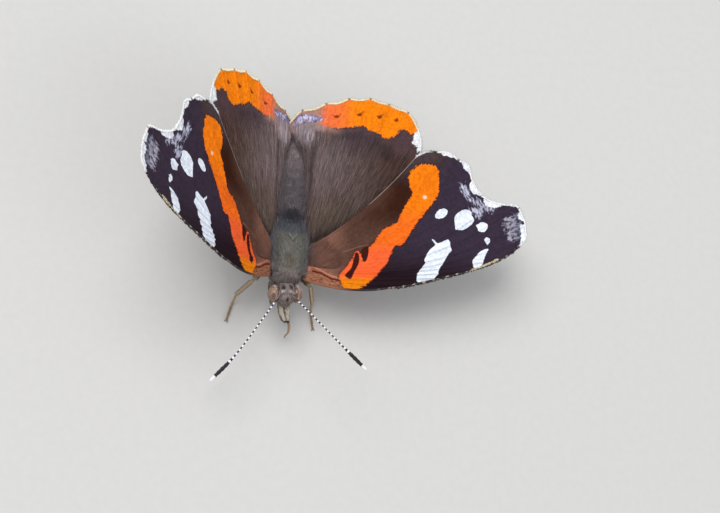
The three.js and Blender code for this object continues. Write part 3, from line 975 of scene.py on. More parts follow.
BLUE_PATCH = [
    (-2.2, -15.9), (-1.9, -16.6), (-1.05, -17.05), (-0.35, -17.05), (0.5, -17.1), (1.7, -16.9),
    (1.05, -16.6), (0.2, -16.4), (-0.75, -16.2), (-1.5, -15.9)]
COSTAL_PATCH = [(8.6, -3.2), (11.5, -5.8), (11.2, -7.6), (9.2, -5.6)]
HIND_APEX = [
    (15.2, -16), (15.8, -15.9), (16, -15), (16.3, -14.4), (15.9, -13.5), (15.2, -13), (15.1, -13.5),
    (15.3, -13.95), (14.8, -14), (14.35, -14.3), (14.65, -14.7), (14.6, -15.25), (14.8, -15.8)]


@dataclass(frozen=True)
class Plumage:
    """How much fringe and hair a wing has, and where."""

    fringe_count: int
    # The ray that the fringe starts at
    fringe_start: float
    hair_count: int
    hair_length: tuple
    # How far out the hair grows, as shares of the way from root to margin
    hair_share: tuple


PLUMAGE = {
    Pair.FORE: Plumage(3200, 0.3, 1500, (0.9, 2.4), (0.05, 0.16)),
    Pair.HIND: Plumage(2600, 0.1, 14000, (2.0, 5.0), (0.06, 0.8)),
}


@dataclass
class Wing:
    """One wing: a thin sheet of scales on its veins, with a fringe and a stiff front edge."""

    pair: Pair
    side: int
    # Turns about the hinge, in degrees
    lift: float
    pitch: float
    sweep: float
    hinge: tuple
    rays: tuple
    # How far out the root is, and how far forward its front and rear ends are
    root: tuple
    thickness: float = 0.09
    # How the sheet bulges up, bends down in front, and dips into the coat at its root
    camber: float = 0.45
    camber_reach: float = 31.0
    front_droop: float = 0.03
    root_dip: float = 0.6
    # How far it rises on a vein, how far from the vein, and how far it sags in between
    vein_height: float = 0.08
    vein_foot: float = 0.16
    pleat: float = 0.06
    # Half widths of the lines painted on veins, on veins that cross white, and on the rear edge
    vein_line: float = 0.07
    white_vein_line: float = 0.06
    rear_line_width: float = 0.08
    # How far the fringe's root is from the margin, and how far its colour goes onto the sheet
    margin_inset: float = 0.26
    rim: float = 0.09
    # Where the lines of a hindwing's hair would meet
    hair_source: tuple = (-2.3, 13.6)
    fringe_length: float = 0.34
    # The fold of a hindwing's inner edge: its radius, and how far out it is at places along y
    hook_radius: float = 0.9
    hook_clearance: tuple = ((3, 2.4), (6, 2.1), (9, 2.1), (12, 1.8), (14.5, 1.1), (16.3, -0.7),
                             (19, -0.75), (21, -3))
    # Where along y the fold sets in and where it eases, and what share of it is left at the rear
    hook_start: tuple = (3, 6.5)
    hook_end: tuple = (13, 18.5)
    hook_end_share: float = 0.6
    # The mesh's steps, and how far it crowds towards the veins
    steps_along: int = 190
    steps_between: int = 10
    crowding: float = 0.08
    # The pattern's millimetres from ray to ray, and for each radian round the hair's source
    ray_spacing: float = 1.3
    hair_spacing: float = 25.0
    halves: Array = field(init=False)
    ends: Array = field(init=False)

    def __post_init__(self) -> None:
        """Works out the lines that the rays' half-way points and ends run along."""
        halves = [self.rays[0].half]
        ends = [self.rays[0].end]
        for ray, after in zip(self.rays[:-1], self.rays[1:]):
            step = np.subtract(after.half, ray.half)
            outward = unit(np.array([-step[1], step[0]]))
            halves += [tuple(np.add(ray.half, after.half) / 2), after.half]
            ends += [tuple(np.add(ray.end, after.end) / 2 + outward * ray.bulge), after.end]
        self.halves = np.array(halves)
        self.ends = np.array(ends)

    @property
    def name(self) -> str:
        """The name of the solid that the wing stands for."""
        return f"{self.pair.value}_{SIDES[self.side]}"

    @property
    def last(self) -> int:
        """The number of spaces between rays."""
        return len(self.rays) - 1

    def flat(self, across: Array, share: Array) -> Array:
        """Finds a place on the flat wing.

        Args:
            across: Rays from the front one.
            share: The share of the way from root to margin.

        Returns:
            Rows of out and front.
        """
        out, front, rear = self.root
        lines = [spline(line, np.asarray(across) * 2) for line in (self.halves, self.ends)]
        forward = front + (rear - front) * across / self.last
        start = np.stack([np.full(np.shape(across), out), forward], -1)
        share = np.asarray(share)[..., None]
        near = 2 * (share - 0.5) * (share - 1) * start + 4 * share * (1 - share) * lines[0]
        return near + 2 * share * (share - 0.5) * lines[1]

    def sheet(self, flat: Array) -> Array:
        """Finds where a place on the flat wing lies on the spread wing.

        Args:
            flat: Rows of out and front.

        Returns:
            Rows of points from the thorax's centre.
        """
        out, front = flat[..., 0], flat[..., 1]
        reach = np.minimum(np.hypot(out, front) / self.camber_reach, 1)
        rise = self.camber * np.sin(np.pi * reach) - self.front_droop * np.maximum(front - 1, 0) ** 2
        if self.pair is Pair.FORE:
            rise = rise - self.root_dip * smooth(out, 0.8, -1.0)
        points = np.stack([out, -front, rise], -1)
        for axis, angle in (("Z", self.sweep), ("X", self.pitch), ("Y", -self.lift)):
            points = turned(points, axis, angle)
        points = points + np.array(self.hinge)
        points[..., 0] *= self.side
        return self.hooked(points) if self.pair is Pair.HIND else points

    def hooked(self, points: Array) -> Array:
        """Folds the inner edge of a hindwing down beside the abdomen.

        Args:
            points: Rows of points on the unfolded wing.

        Returns:
            The same points, folded.
        """
        x, y, z = points[..., 0] * self.side, points[..., 1], points[..., 2]
        slope = math.radians(self.lift)
        easing = 1 - (1 - self.hook_end_share) * smooth(y, *self.hook_end)
        turn = (np.pi / 2 - slope) * smooth(y, *self.hook_start) * easing
        clearance = np.interp(y, *np.transpose(self.hook_clearance))
        fold_x = clearance + self.hook_radius * (1 - math.sin(slope))
        beyond = (fold_x - x) / math.cos(slope)
        bent = slope + np.minimum(beyond / self.hook_radius, turn)
        past = np.maximum(beyond - self.hook_radius * turn, 0)
        fold_z = z + beyond * math.sin(slope)
        new_x = fold_x - self.hook_radius * (np.sin(bent) - math.sin(slope)) - past * np.cos(bent)
        new_z = fold_z - self.hook_radius * (math.cos(slope) - np.cos(bent)) - past * np.sin(bent)
        folds = (beyond > 0) & (turn > 0)
        return np.stack([np.where(folds, new_x, x) * self.side, y, np.where(folds, new_z, z)], -1)

    def normal(self, flat: Array) -> Array:
        """Finds which way the upper side faces.

        Args:
            flat: Rows of out and front.

        Returns:
            One direction for each row.
        """
        probe = 0.02
        here = self.sheet(flat)
        along = self.sheet(flat + np.array([probe, 0])) - here
        across = self.sheet(flat + np.array([0, probe])) - here
        facing = unit(np.cross(along, across))
        return facing * np.where(facing[..., 2:] < 0, -1, 1)

    def veins(self) -> list[Array]:
        """Runs the veins along their rays.

        Returns:
            Each vein as a line on the flat wing.
        """
        lines = []
        for index, ray in enumerate(self.rays):
            if ray.vein is not None:
                share = np.linspace(ray.vein, 1, 14)
                lines.append(self.flat(np.full(share.shape, float(index)), share))
        return lines

    def length(self, across: Array) -> Array:
        """Returns how long the wing is along each ray."""
        margin = spline(self.ends, np.asarray(across) * 2)
        return np.linalg.norm(margin - np.array(self.root[:2]), axis=-1)

    def rear_line(self, count: int) -> Array:
        """Returns the rear edge as a line of that many points on the flat wing."""
        return self.flat(np.full(count, float(self.last)), np.linspace(0, 1, count))

    def edge_share(self, across: Array) -> Array:
        """Returns the share at which the sheet ends and its fringe begins."""
        return 1 - self.margin_inset / self.length(across)

    def lie(self, flat: Array, across: Array, share: Array) -> Array:
        """Lays out the wing in millimetres across and along its hair, for the patterns.

        Args:
            flat: Rows of out and front.
            across: Rays from the front one.
            share: The share of the way from root to margin.

        Returns:
            Rows of across, along and a number that sets the two wings of a pair apart.
        """
        if self.pair is Pair.FORE:
            return np.column_stack([
                across * self.ray_spacing, share * self.length(across), share * 0 + self.side])
        away = flat - np.array(self.hair_source)
        turn = np.arctan2(away[:, 0], -away[:, 1])
        return np.column_stack([
            turn * self.hair_spacing, np.hypot(away[:, 0], away[:, 1]), share * 0 + self.side])

    def build(self, upper: Material, under: Material) -> None:
        """Makes the sheet.

        Args:
            upper: The finish of its upper side.
            under: The finish of its underside.
        """
        bpy.ops.mesh.primitive_grid_add(
            x_subdivisions=self.last * self.steps_between, y_subdivisions=self.steps_along, size=1)
        piece = bpy.context.object
        piece.name = piece.data.name = f"{self.name}_sheet"
        grid = read_points(piece)[:, :2] + 0.5
        across = grid[:, 0] * self.last
        # The grid is closer at the veins, which lie at whole numbers across.
        across = np.clip(across - self.crowding * np.sin(2 * np.pi * across), 0, self.last)
        share = grid[:, 1] * self.edge_share(across)
        flat = self.flat(across, share)
        vein = np.min([reach_to_line(flat, line) for line in self.veins()], axis=0)
        ridge = self.vein_height * np.clip(1 - vein / self.vein_foot, 0, 1) ** 1.5
        sag = self.pleat * np.sin(np.pi * (across % 1)) ** 2 * smooth(share, 0.1, 0.5)
        write_points(piece, self.sheet(flat) + self.normal(flat) * (ridge - sag)[:, None])
        edge = (self.edge_share(across) - share) * self.length(across)
        marks = self.markings(flat, share)
        marks["vein"] = self.vein_line - vein
        marks["lie"] = self.lie(flat, across, share)
        marks["rim"] = self.rim - edge
        if self.pair is Pair.FORE:
            marks["white_vein"] = np.minimum(self.white_vein_line - vein, marks["white"])
            # The rear edge of a forewing shows as a pale line in its outer half only.
            rear_rim = self.rear_line_width - reach_to_line(flat, self.rear_line(30))
            marks["rim"] = np.maximum(marks["rim"], rear_rim - smooth(share, 0.62, 0.4))
        at_margin = edge < self.rim + 0.05
        marks["rim_tint"] = blend(hues("#8b7c74")[0], self.fringe_hue(flat, across), at_margin)
        for key, values in marks.items():
            write_attribute(piece, key, values)
        if self.side > 0:
            piece.data.flip_normals()
        solidify = piece.modifiers.new("thickness", "SOLIDIFY")
        solidify.thickness = self.thickness * MM
        solidify.offset = 0
        solidify.material_offset = 1
        bpy.context.view_layer.objects.active = piece
        piece.data.materials.append(upper)
        piece.data.materials.append(under)
        bpy.ops.object.modifier_apply(modifier="thickness")
        bpy.ops.object.shade_smooth_by_angle(angle=math.radians(50))
        piece.select_set(False)
        finish_piece(piece, nodes=(self.name,))

    def markings(self, flat: Array, share: Array) -> dict:
        """Works out what lies where on the wing.

        Args:
            flat: Rows of out and front.
            share: The share of the way from root to margin.

        Returns:
            Values for each point, by the name of their attribute.
        """
        return fore_markings(flat) if self.pair is Pair.FORE else hind_markings(flat, share)

    def fringe(self, hair: Material, rng: Generator) -> None:
        """Sets the fringe of long scales along the margin.

        Args:
            hair: Its finish.
            rng: The source of variety.
        """
        look = PLUMAGE[self.pair]
        count = look.fringe_count
        across = np.sort(rng.uniform(look.fringe_start, self.last - 0.05, count))
        step = 0.02
        share = self.edge_share(across)
        edge = self.flat(across, share)
        along = unit(self.flat(across + step, share) - self.flat(across - step, share))
        outward = np.stack([-along[:, 1], along[:, 0]], 1)
        length = self.fringe_length * rng.uniform(0.45, 1.15, count)
        length *= 0.9 + 0.14 * np.sin(across * 23) + 0.12 * np.sin(across * 41 + 1)
        if self.pair is Pair.HIND:
            length *= 0.8 + 0.35 * np.sin(np.pi * (across % 1))
        lower = np.arange(count) % 2 == 1
        length = np.where(lower, length * 0.7, length)
        lean = along * rng.normal(0, 0.12, count)[:, None]
        steps = np.array([-0.3, 0.3, 1.0])
        reach = (outward + lean)[:, None] * (length[:, None] * steps)[..., None]
        spines = self.sheet(edge[:, None] + reach)
        # Half of the fringe grows from the upper face and half from the lower, to hide the sheet's edge.
        face = np.where(lower, -1, 1) * self.thickness / 2
        lifts = face[:, None] * np.array([1.05, 0.8, 0.1]) + rng.normal(0, 0.02, count)[:, None]
        spines += lifts[..., None] * self.normal(edge)[:, None]
        hue = self.fringe_hue(edge, across) * rng.uniform(0.88, 1.08, count)[:, None]
        width = rng.uniform(0.09, 0.14, count)
        unwrap = np.stack([across / self.last, share], 1)
        coat = tufts(f"{self.name}_fringe", spines, self.normal(edge), width, hue, unwrap,
                     taper=(1, 0.75), thick=0.3, root_shade=1)
        finish_piece(coat, hair)

    def fringe_hue(self, edge: Array, across: Array) -> Array:
        """Colours the fringe.

        Args:
            edge: Rows of out and front.
            across: Rays from the front one.

        Returns:
            One colour for each row.
        """
        dark, white, cream, brown = hues("#2b2226", "#ffffff", "#fbeecb", "#8a735c")
        if self.pair is Pair.FORE:
            base = blend(dark, brown, smooth(edge[:, 0], 8, 2) * 0.6)
            base = blend(base, white, smooth(across, 11.6, 12.1) * 0.75)
            return blend(base, white, smooth(deepest(edge, WHITE_CHECKS), -0.8, -0.5))
        nearest_vein = np.abs(across - np.round(across))
        hue = blend(brown, cream, smooth(nearest_vein, 0.01, 0.08))
        apex = smooth(depth_in(edge, closed_line(HIND_APEX)), -0.6, -0.2)
        return blend(blend(hue, brown, smooth(across, 1.2, 0.6)), white, apex)

    def front_edge(self, material: Material) -> None:
        """Runs the stout front vein along the edge.

        Args:
            material: Its finish.
        """
        if self.pair is not Pair.FORE:
            return
        across = np.r_[np.zeros(9), np.linspace(0.4, 5, 9)]
        share = np.r_[np.linspace(0, 1, 9), np.ones(9)] * self.edge_share(across)
        flat = self.flat(across, share)
        piece = swept(f"{self.name}_front_vein", self.sheet(flat), [0.17, 0.16, 0.14, 0.12, 0.09, 0.06],
                      sides=10, rings=160)
        dark, rust, pale, cream = hues("#2c2226", "#8f5a41", "#b3a48e", "#e0d0ab")
        points = read_points(piece) / MM - SHIFT
        reach = np.linalg.norm(points - self.sheet(np.zeros((1, 2))), axis=1)
        specks = np.sin(reach * 4.3) + np.sin(reach * 9.7 + 1)
        tint = blend(rust, dark, smooth(reach, 5, 8))
        tint = blend(tint, pale, smooth(specks, 0.3, 1.2) * smooth(reach, 9, 14))
        # Dark where the vein meets the thorax: partly grey hair, partly painted shade cast by the thorax.
        tint = blend(dark, tint, smooth(np.abs(points[:, 0]) - self.hinge[0], -0.2, 0.5))
        streak = smooth(reach, 22.4, 23.0) * smooth(reach, 27.6, 26.8)
        write_attribute(piece, "tint", blend(tint, cream, streak))
        finish_piece(piece, material)

    def hair(self, material: Material, rng: Generator) -> None:
        """Lays long soft hair over the inner half of a hindwing, and short hair on a forewing's base.

        Args:
            material: Its finish.
            rng: The source of variety.
        """
        look = PLUMAGE[self.pair]
        count = look.hair_count
        if self.pair is Pair.HIND:
            across = 1.2 + (self.last - 1.25) * rng.beta(1.3, 0.9, count)
            source, marking = self.hair_source, HIND_BAND
        else:
            across = rng.uniform(6.5, self.last - 0.1, count)
            source, marking = self.root[:2], BAND
        share = rng.uniform(*look.hair_share, count)
        start = self.flat(across, share)
        ahead = unit(start - np.array(source))
        yaw = rng.normal(0, 0.035, count)[:, None]
        ahead = unit(ahead + yaw * np.stack([-ahead[:, 1], ahead[:, 0]], 1))
        steps = np.linspace(0, 1, 4)
        reach = rng.uniform(*look.hair_length, count)[:, None] * steps
        flats = start[:, None] + ahead[:, None] * reach[..., None]
        tips = flats[:, -1]
        # Hair whose tip would cover the band, or go past the margin, is left out.
        keep = depth_in(tips, closed_line(marking)) < -0.2
        keep &= tips[:, 1] > -17 + 0.02 * tips[:, 0] ** 2
        keep &= tips[:, 0] > self.inner_edge(tips[:, 1])
        flats, across, share = flats[keep], across[keep], share[keep]
        count = len(flats)
        rise = rng.uniform(0.05, 0.25, count)[:, None] * np.sin(np.pi * np.clip(steps, 0, 0.93)) + 0.09
        normals = self.normal(flats)
        spines = self.sheet(flats) + normals * rise[..., None]
        shade = rng.choice([0.75, 1.05, 1.3, 1.6, 2.1], count, p=[0.15, 0.25, 0.25, 0.2, 0.15])
        width = rng.uniform(0.045, 0.08, count)
        if self.pair is Pair.FORE:
            shade = rng.uniform(1.1, 1.7, count)
            width *= 0.6
        hue = self.markings(flats[:, 2], share)["ground"] * shade[:, None]
        unwrap = np.stack([across / self.last, share], 1)
        coat = tufts(f"{self.name}_hair", spines, normals[:, 0], width, hue, unwrap,
                     taper=(0.7, 1, 0.6), thick=0.4, root_shade=0.9)
        finish_piece(coat, material)

    def inner_edge(self, front: Array) -> Array:
        """Finds how far out a hindwing's inner edge is.

        Args:
            front: Places forward of the hinge.

        Returns:
            The edge's place out from the hinge, at each.
        """
        line = self.rear_line(40)
        order = np.argsort(line[:, 1])
        return np.interp(front, line[order, 1], line[order, 0])


def fore_markings(flat: Array) -> dict:
    """Works out a forewing's colours and markings.

    Args:
        flat: Rows of out and front.

    Returns:
        Values for each point, by the name of their attribute.
    """
    out, front = flat[:, 0], flat[:, 1]
    base, basal, shadow, hinge, costal, outer, inner = hues(
        "#7d5648", "#54382d", "#331404", "#554843", "#1f0d16", "#352938", "#43373b")
    low, middle, top, tip = hues("#f3612e", "#f26a14", "#f37900", "#eb8200")
    under, under_tip, under_rear = hues("#3a2d2a", "#54463f", "#8a7d70")
    notch, costal_base = (depth_in(flat, rounded(outline)) for outline in (NOTCH, COSTAL_BASE))
    band = np.minimum(depth_in(flat, closed_line(BAND)), -notch)
    ground = blend(base, basal, smooth(out, 3, 6.5))
    in_shadow = smooth(band, -4.6, -1.3) * smooth(front, -3.5, -8) * smooth(front, -16, -13)
    ground = blend(ground, shadow, in_shadow)
    # Brownish grey at the root beside the thorax: partly the grey hair there, partly painted shade cast
    # by the thorax.
    ground = blend(ground, hinge, smooth(out, 2.4, 0.4) * 0.9)
    past_band = smooth(out - 6 - 0.656 * (2 - front), 0.0, 3.0)
    ground = blend(ground, blend(costal, outer, smooth(front - 0.1 * (out - 15), 2.5, -4)), past_band)
    ground = blend(ground, inner, smooth(front, -10, -14.5) * smooth(out, 21, 16) * 0.9)
    dust = np.max([0.28 - reach_to_line(flat, line) for line in DUSTINGS], axis=0)
    haze, faint_haze = (np.minimum(depth_in(flat, rounded(line)), 0.05) for line in (HAZE, FAINT_HAZE))
    under_ground = blend(under, under_tip, smooth(out, 24, 30))
    tint = blend(low, middle, smooth(front, -1.5, -3.5))
    tint = blend(blend(tint, top, smooth(front, -5, -9)), tip, smooth(front, 1.2, 2.6))
    strokes = {key: half - reach_to_line(flat, line) for key, (line, half) in FORE_STROKES.items()}
    return strokes | {
        "ground": ground,
        "band": band,
        "band_edge": 0.13 - np.abs(band + 0.05),
        "band_tint": tint,
        "notch": np.maximum(notch, depth_in(flat, rounded(DARK_HOOK))),
        "white": np.maximum(deepest(flat, WHITES), depth_in(flat, rounded(OVAL))),
        "haze": haze,
        "faint_haze": faint_haze,
        "check": deepest(flat, WHITE_CHECKS) + 0.26,
        "dust": np.minimum(dust, 0.05),
        "costal_base": costal_base,
        "costal_flecks": np.minimum(costal_base, 0.0),
        "pink": 0.3 - np.hypot(out - PINK_SPOT[0], front - PINK_SPOT[1]),
        "under_ground": blend(under_ground, under_rear, smooth(front, -11, -15) * 0.7),
        "marbling": smooth(out, 22, 27) * 0.5 - 0.35,
    }


def hind_markings(flat: Array, share: Array) -> dict:
    """Works out a hindwing's colours and markings.

    Args:
        flat: Rows of out and front.
        share: The share of the way from root to margin.

    Returns:
        Values for each point, by the name of their attribute.
    """
    out, front = flat[:, 0], flat[:, 1]
    base, mauve, middle, outer, dusk, furrow_shade, tornus = hues(
        "#584940", "#6b5b5b", "#5c4b46", "#553e37", "#4a3841", "#4a3c3c", "#a59aa0")
    pink, orange, salmon = hues("#a87f70", "#f37f05", "#f2703a")
    ground = blend(middle, mauve, smooth(out, 9, 2) * smooth(front, -5, -10))
    # The outer ground is the wing's own dark brown, deepened a little as painted shade: one set of
    # colours serves both hindwings, and the raised right one lies in shade.
    ground = blend(ground, outer, smooth(out, 7, 12))
    ground = blend(base, ground, smooth(front, -3, -8))
    ground = blend(ground, dusk, smooth(front - 0.05 * out, -12, -15) * smooth(out, 3, 6) * 0.7)
    # A dark line where the wing bends down beside the abdomen: painted shade in the crease.
    ground = blend(ground, furrow_shade, smooth(np.abs(out - 0.6 + 0.05 * (front + 8)), 0.5, 0.1) * 0.8)
    ground = blend(ground, pink, smooth(front, -14.0, -15.8) * smooth(out, 5, 2.5) * 0.85)
    ground = blend(ground, tornus, smooth(np.hypot((out + 0.4) / 2, front + 15.2), 1.5, 0.3) * 0.85)
    band = depth_in(flat, closed_line(HIND_BAND))
    blue = depth_in(flat, rounded(BLUE_PATCH))
    centres = [np.mean(points, axis=0) for points in HIND_DOTS]
    spots = [0.75 - np.hypot(out - x, front - y - 2.4) for x, y in centres]
    return {
        "ground": ground,
        "band": band,
        "band_edge": 0.12 - np.abs(band + 0.08) - smooth(out, 3.5, 2),
        "band_tint": blend(blend(orange, salmon, smooth(out, 7, 3)), pink, smooth(out, 3.0, 0.8)),
        "dot": deepest(flat, HIND_DOTS) + 0.04,
        "blue": np.minimum(blue + 0.1, 0.22),
        "blue_specks": np.minimum(blue, 0.1) - 0.2,
        "navy": 0.12 - np.abs(blue + 0.04),
        "apex": depth_in(flat, closed_line(HIND_APEX)),
        "under_ground": blend(*hues("#4a3b33", "#6b5c50"), smooth(share, 0.3, 0.95)),
        "eyespot": np.max(spots, axis=0),
        "costal_patch": depth_in(flat, rounded(COSTAL_PATCH)),
        "marbling": np.zeros(len(flat)),
    }


# How far each wing is lifted, pitched and swept, in degrees
WING_SPREAD = {
    (Pair.FORE, 1): (5.0, 7.9, 4.8),
    (Pair.FORE, -1): (46.7, -1.1, -4.8),
    (Pair.HIND, 1): (6.3, 7.5, 3.9),
    (Pair.HIND, -1): (41.4, 1.2, -3.9),
}


def make_wings() -> list[Wing]:
    """Spreads the four wings as the solids are.

    Returns:
        The wings, left before right.
    """
    shapes = {
        Pair.FORE: ((2.3, -1.6, 1.4), FORE_RAYS, (-1.2, 1.9, -1.2)),
        Pair.HIND: ((2.3, 1.6, 0.6), HIND_RAYS, (-1.2, 1.1, -1.6)),
    }
    return [Wing(pair, side, *spread, *shapes[pair]) for (pair, side), spread in WING_SPREAD.items()]


# Body

@dataclass(frozen=True)
class Coat:
    """A stretch of hair on the body."""

    name: str
    count: int
    # From where to where along y, and round the body, in degrees up from its side
    span: tuple
    arc: tuple
    length: tuple
    # How steeply it stands off at the root, in degrees
    lift: float
    width: float = 0.07
    forward: bool = False
    tint: str | None = None


COATS = (
    Coat("thorax_coat", 15500, (-4.3, 3.5), (-90, 90), (0.4, 0.75), 14, 0.06),
    Coat("shoulder_coat", 5200, (-3.6, 3.4), (-5, 62), (1.0, 2.0), 34, 0.05),
    Coat("collar_coat", 2600, (-4.7, -3.3), (-60, 90), (0.6, 1.0), 30, forward=True),
    Coat("rear_tuft_coat", 2400, (3.1, 3.9), (54, 90), (0.9, 1.6), 9, 0.06, tint="#333238"),
    Coat("abdomen_coat", 16500, (3.4, 16.9), (-90, 90), (0.7, 1.3), 10, 0.06),
    Coat("flank_coat", 6500, (3.2, 16.0), (-5, 60), (1.4, 2.8), 22, 0.05),
    Coat("tail_coat", 1200, (15.6, 16.95), (-90, 90), (0.9, 1.5), 14),
    Coat("head_coat", 6000, (-7.5, -4.2), (-90, 90), (0.25, 0.5), 28, 0.06),
    Coat("crown_coat", 1300, (-6.0, -4.7), (30, 90), (0.45, 0.8), 55, 0.06, forward=True),
)


@dataclass
class Trunk:
    """Head, thorax and abdomen under one skin, with the coat that covers them."""

    # Place along y, height of the centre, half width, reach up and reach down
    sections: tuple = (
        (-7.62, -0.35, 0.02, 0.02, 0.02), (-7.5, -0.35, 0.3, 0.3, 0.4), (-7.3, -0.25, 0.8, 0.85, 1.1),
        (-6.8, -0.1, 1.3, 1.35, 1.5), (-6, 0, 1.5, 1.55, 1.6), (-5.2, 0.05, 1.3, 1.35, 1.35),
        (-4.75, 0, 1.1, 1.1, 1.15), (-4.35, -0.1, 1.4, 1.4, 1.5), (-3.95, -0.05, 1.9, 1.85, 1.9),
        (-3.1, 0, 2.35, 2.35, 2.3), (-0.8, 0, 2.6, 2.85, 2.6), (1.0, 0, 2.55, 2.8, 2.5),
        (2.5, 0.1, 2.25, 2.2, 2.15), (3.2, 0.2, 1.85, 1.75, 1.75), (3.7, 0.28, 1.6, 1.55, 1.5),
        (4.6, 0.25, 1.7, 1.65, 1.6), (7.0, 0, 2.0, 1.9, 1.9), (9.5, -0.35, 2.0, 1.9, 1.95),
        (12.0, -0.8, 1.8, 1.75, 1.8), (14.3, -1.2, 1.45, 1.4, 1.45), (16.2, -1.6, 0.95, 0.9, 0.95),
        (17.0, -1.75, 0.3, 0.3, 0.3), (17.1, -1.75, 0.02, 0.02, 0.02))
    # Dark spots on the head: place across, place along y and radius
    head_spots: tuple = ((-1.15, -5.35, 0.3), (-0.48, -5.3, 0.26), (0.48, -5.3, 0.26),
                         (1.15, -5.35, 0.3), (0, -7.0, 0.22))
    # The head's turn to its left about the neck, in degrees
    head_turn: float = 8.0
    neck: tuple = (0, -4.4, 0)
    # How far the skin is inside the coat's surface
    coat_depth: float = 0.22
    # Where the abdomen's rings begin, and how far apart they are
    waist: float = 4.6
    ring_spacing: float = 1.5
    # The step that directions on the skin are measured over
    probe: float = 0.01
    unwrap_length: float = 24.8

    def profile(self, y: Array) -> Array:
        """Returns centre height, half width, reach up and reach down at each place along y."""
        fine = spline(self.sections, np.linspace(0, len(self.sections) - 1, 600))
        return np.stack([np.interp(y, fine[:, 0], fine[:, i]) for i in range(1, 5)], -1)

    def wave(self, y: Array) -> Array:
        """Returns 1 in the middle of each of the abdomen's rings and -1 between them."""
        return np.cos(2 * np.pi * (y - self.waist) / self.ring_spacing)

    def surface(self, y: Array, angle: Array, depth: float | Array = 0.0) -> Array:
        """Finds points on or under the coat's surface.

        Args:
            y: Place along the body.
            angle: Turn round it, from its left over the back.
            depth: How far inside the outer surface.

        Returns:
            Rows of points.
        """
        shape = self.profile(y)
        slim = np.minimum(depth, shape[:, 1] * 0.6)
        rings = np.where(y > self.waist, 0.03 * self.wave(y), 0)
        width = shape[:, 1] - slim + rings
        rise = np.where(np.sin(angle) > 0, shape[:, 2], shape[:, 3]) - slim + rings
        points = np.stack([np.cos(angle) * width, y, shape[:, 0] + np.sin(angle) * rise], -1)
        share = smooth(-y, -self.neck[1] - 0.2, -self.neck[1] + 0.5)[:, None]
        return points + (turned(points, "Z", self.head_turn, self.neck) - points) * share

    def backward(self, y: Array, angle: Array) -> Array:
        """Returns which way the skin runs towards the tail."""
        return unit(self.surface(y + self.probe, angle) - self.surface(y - self.probe, angle))

    def facing(self, y: Array, angle: Array) -> Array:
        """Returns which way the skin faces."""
        round_it = self.surface(y, angle + self.probe) - self.surface(y, angle - self.probe)
        return unit(np.cross(self.backward(y, angle), round_it))

    def unwrap(self, y: Array, angle: Array) -> Array:
        """Returns each place on an unwrap of the skin, from 0 to 1."""
        return np.stack([(angle / np.pi + 1) / 2 % 1, (y - self.sections[0][0]) / self.unwrap_length], 1)

    def hue(self, y: Array, angle: Array) -> Array:
        """Colours skin and coat.

        Args:
            y: Place along the body.
            angle: Turn round it, from its left over the back.

        Returns:
            One colour for each place.
        """
        crown, face, dark, collar = hues("#c6b3b0", "#a8968d", "#2f2828", "#a89994")
        olive, brown, side, blue, dome = hues("#87847a", "#7d7262", "#6e6b7c", "#666974", "#47464b")
        waist, tail, flank, belly = hues("#7a6f73", "#bca9ac", "#6c6161", "#b5a795")
        top = np.sin(angle)
        out = np.cos(angle) * self.profile(y)[:, 1]
        thorax = blend(side, olive, smooth(top, 0.35, 0.8))
        thorax = blend(thorax, brown, smooth(np.hypot(out / 0.9, (y + 2.2) / 1.5), 1, 0.3))
        thorax = blend(thorax, blue, smooth(y, 1.2, 2.0) * 0.9)
        thorax = blend(thorax, collar, smooth(y, -2.8, -3.9))
        abdomen = blend(flank, blend(waist, tail, smooth(y, 8, 15)), smooth(top, 0.0, 0.6))
        rings = 0.5 + 0.5 * self.wave(y)
        abdomen = blend(abdomen, flank, smooth(rings, 0.3, 0.0) * 0.4)
        body = blend(thorax, abdomen, smooth(y, 3.6, 4.1))
        on_dome = smooth(np.hypot(out / 1.4, (y - 3.4) / 2.0), 1.0, 0.8) * smooth(y, 3.1, 3.5)
        body = blend(body, dome, on_dome)
        head = blend(face, crown, smooth(y, -7.2, -6.3))
        spots = [r - np.hypot(out - x, y - along) for x, along, r in self.head_spots]
        head = blend(head, dark, smooth(np.max(spots, axis=0), -0.1, 0.1) * smooth(top, 0, 0.4) * 0.9)
        body = blend(head, body, smooth(y, -4.9, -4.5))
        return blend(np.broadcast_to(belly, body.shape), body, smooth(top, -0.7, -0.1))

    def build(self, skin: Material) -> None:
        """Makes the skin.

        Args:
            skin: Its finish.
        """
        bpy.ops.mesh.primitive_uv_sphere_add(segments=72, ring_count=190, radius=1)
        piece = bpy.context.object
        piece.name = piece.data.name = "body_skin"
        ball = read_points(piece)
        share = np.arccos(np.clip(ball[:, 2], -1, 1)) / math.pi
        y = self.sections[0][0] + share * (self.sections[-1][0] - self.sections[0][0])
        angle = np.arctan2(ball[:, 1], ball[:, 0])
        write_points(piece, self.surface(y, angle, self.coat_depth))
        write_attribute(piece, "tint", self.hue(y, angle) * np.array([0.75, 0.75, 0.75, 1]))
        facing_out(piece)
        finish_piece(piece, skin, ("head", "thorax", "abdomen"))

    def coat(self, look: Coat, hair: Material, rng: Generator) -> None:
        """Sets hair on a stretch of the body.

        Args:
            look: Where the hair is, and how it lies.
            hair: Its finish.
            rng: The source of variety.
        """
        y = rng.uniform(*look.span, look.count * 3)
        girth = self.profile(y)[:, 1]
        y = y[rng.uniform(0, girth.max(), len(y)) < girth + 0.3][:look.count]
        count = len(y)
        angle = np.radians(rng.uniform(*look.arc, count))
        angle = np.where(rng.uniform(0, 1, count) < 0.5, angle, np.pi - angle)
        outward = self.facing(y, angle)
        root = self.surface(y, angle, self.coat_depth + 0.05)
        back = self.backward(y, angle) * (-1 if look.forward else 1)
        sideways = np.cross(outward, back)
        lie = unit(back + sideways * rng.normal(0, 0.2, count)[:, None])
        tilt = np.radians(rng.normal(look.lift, look.lift * 0.3, count))[:, None]
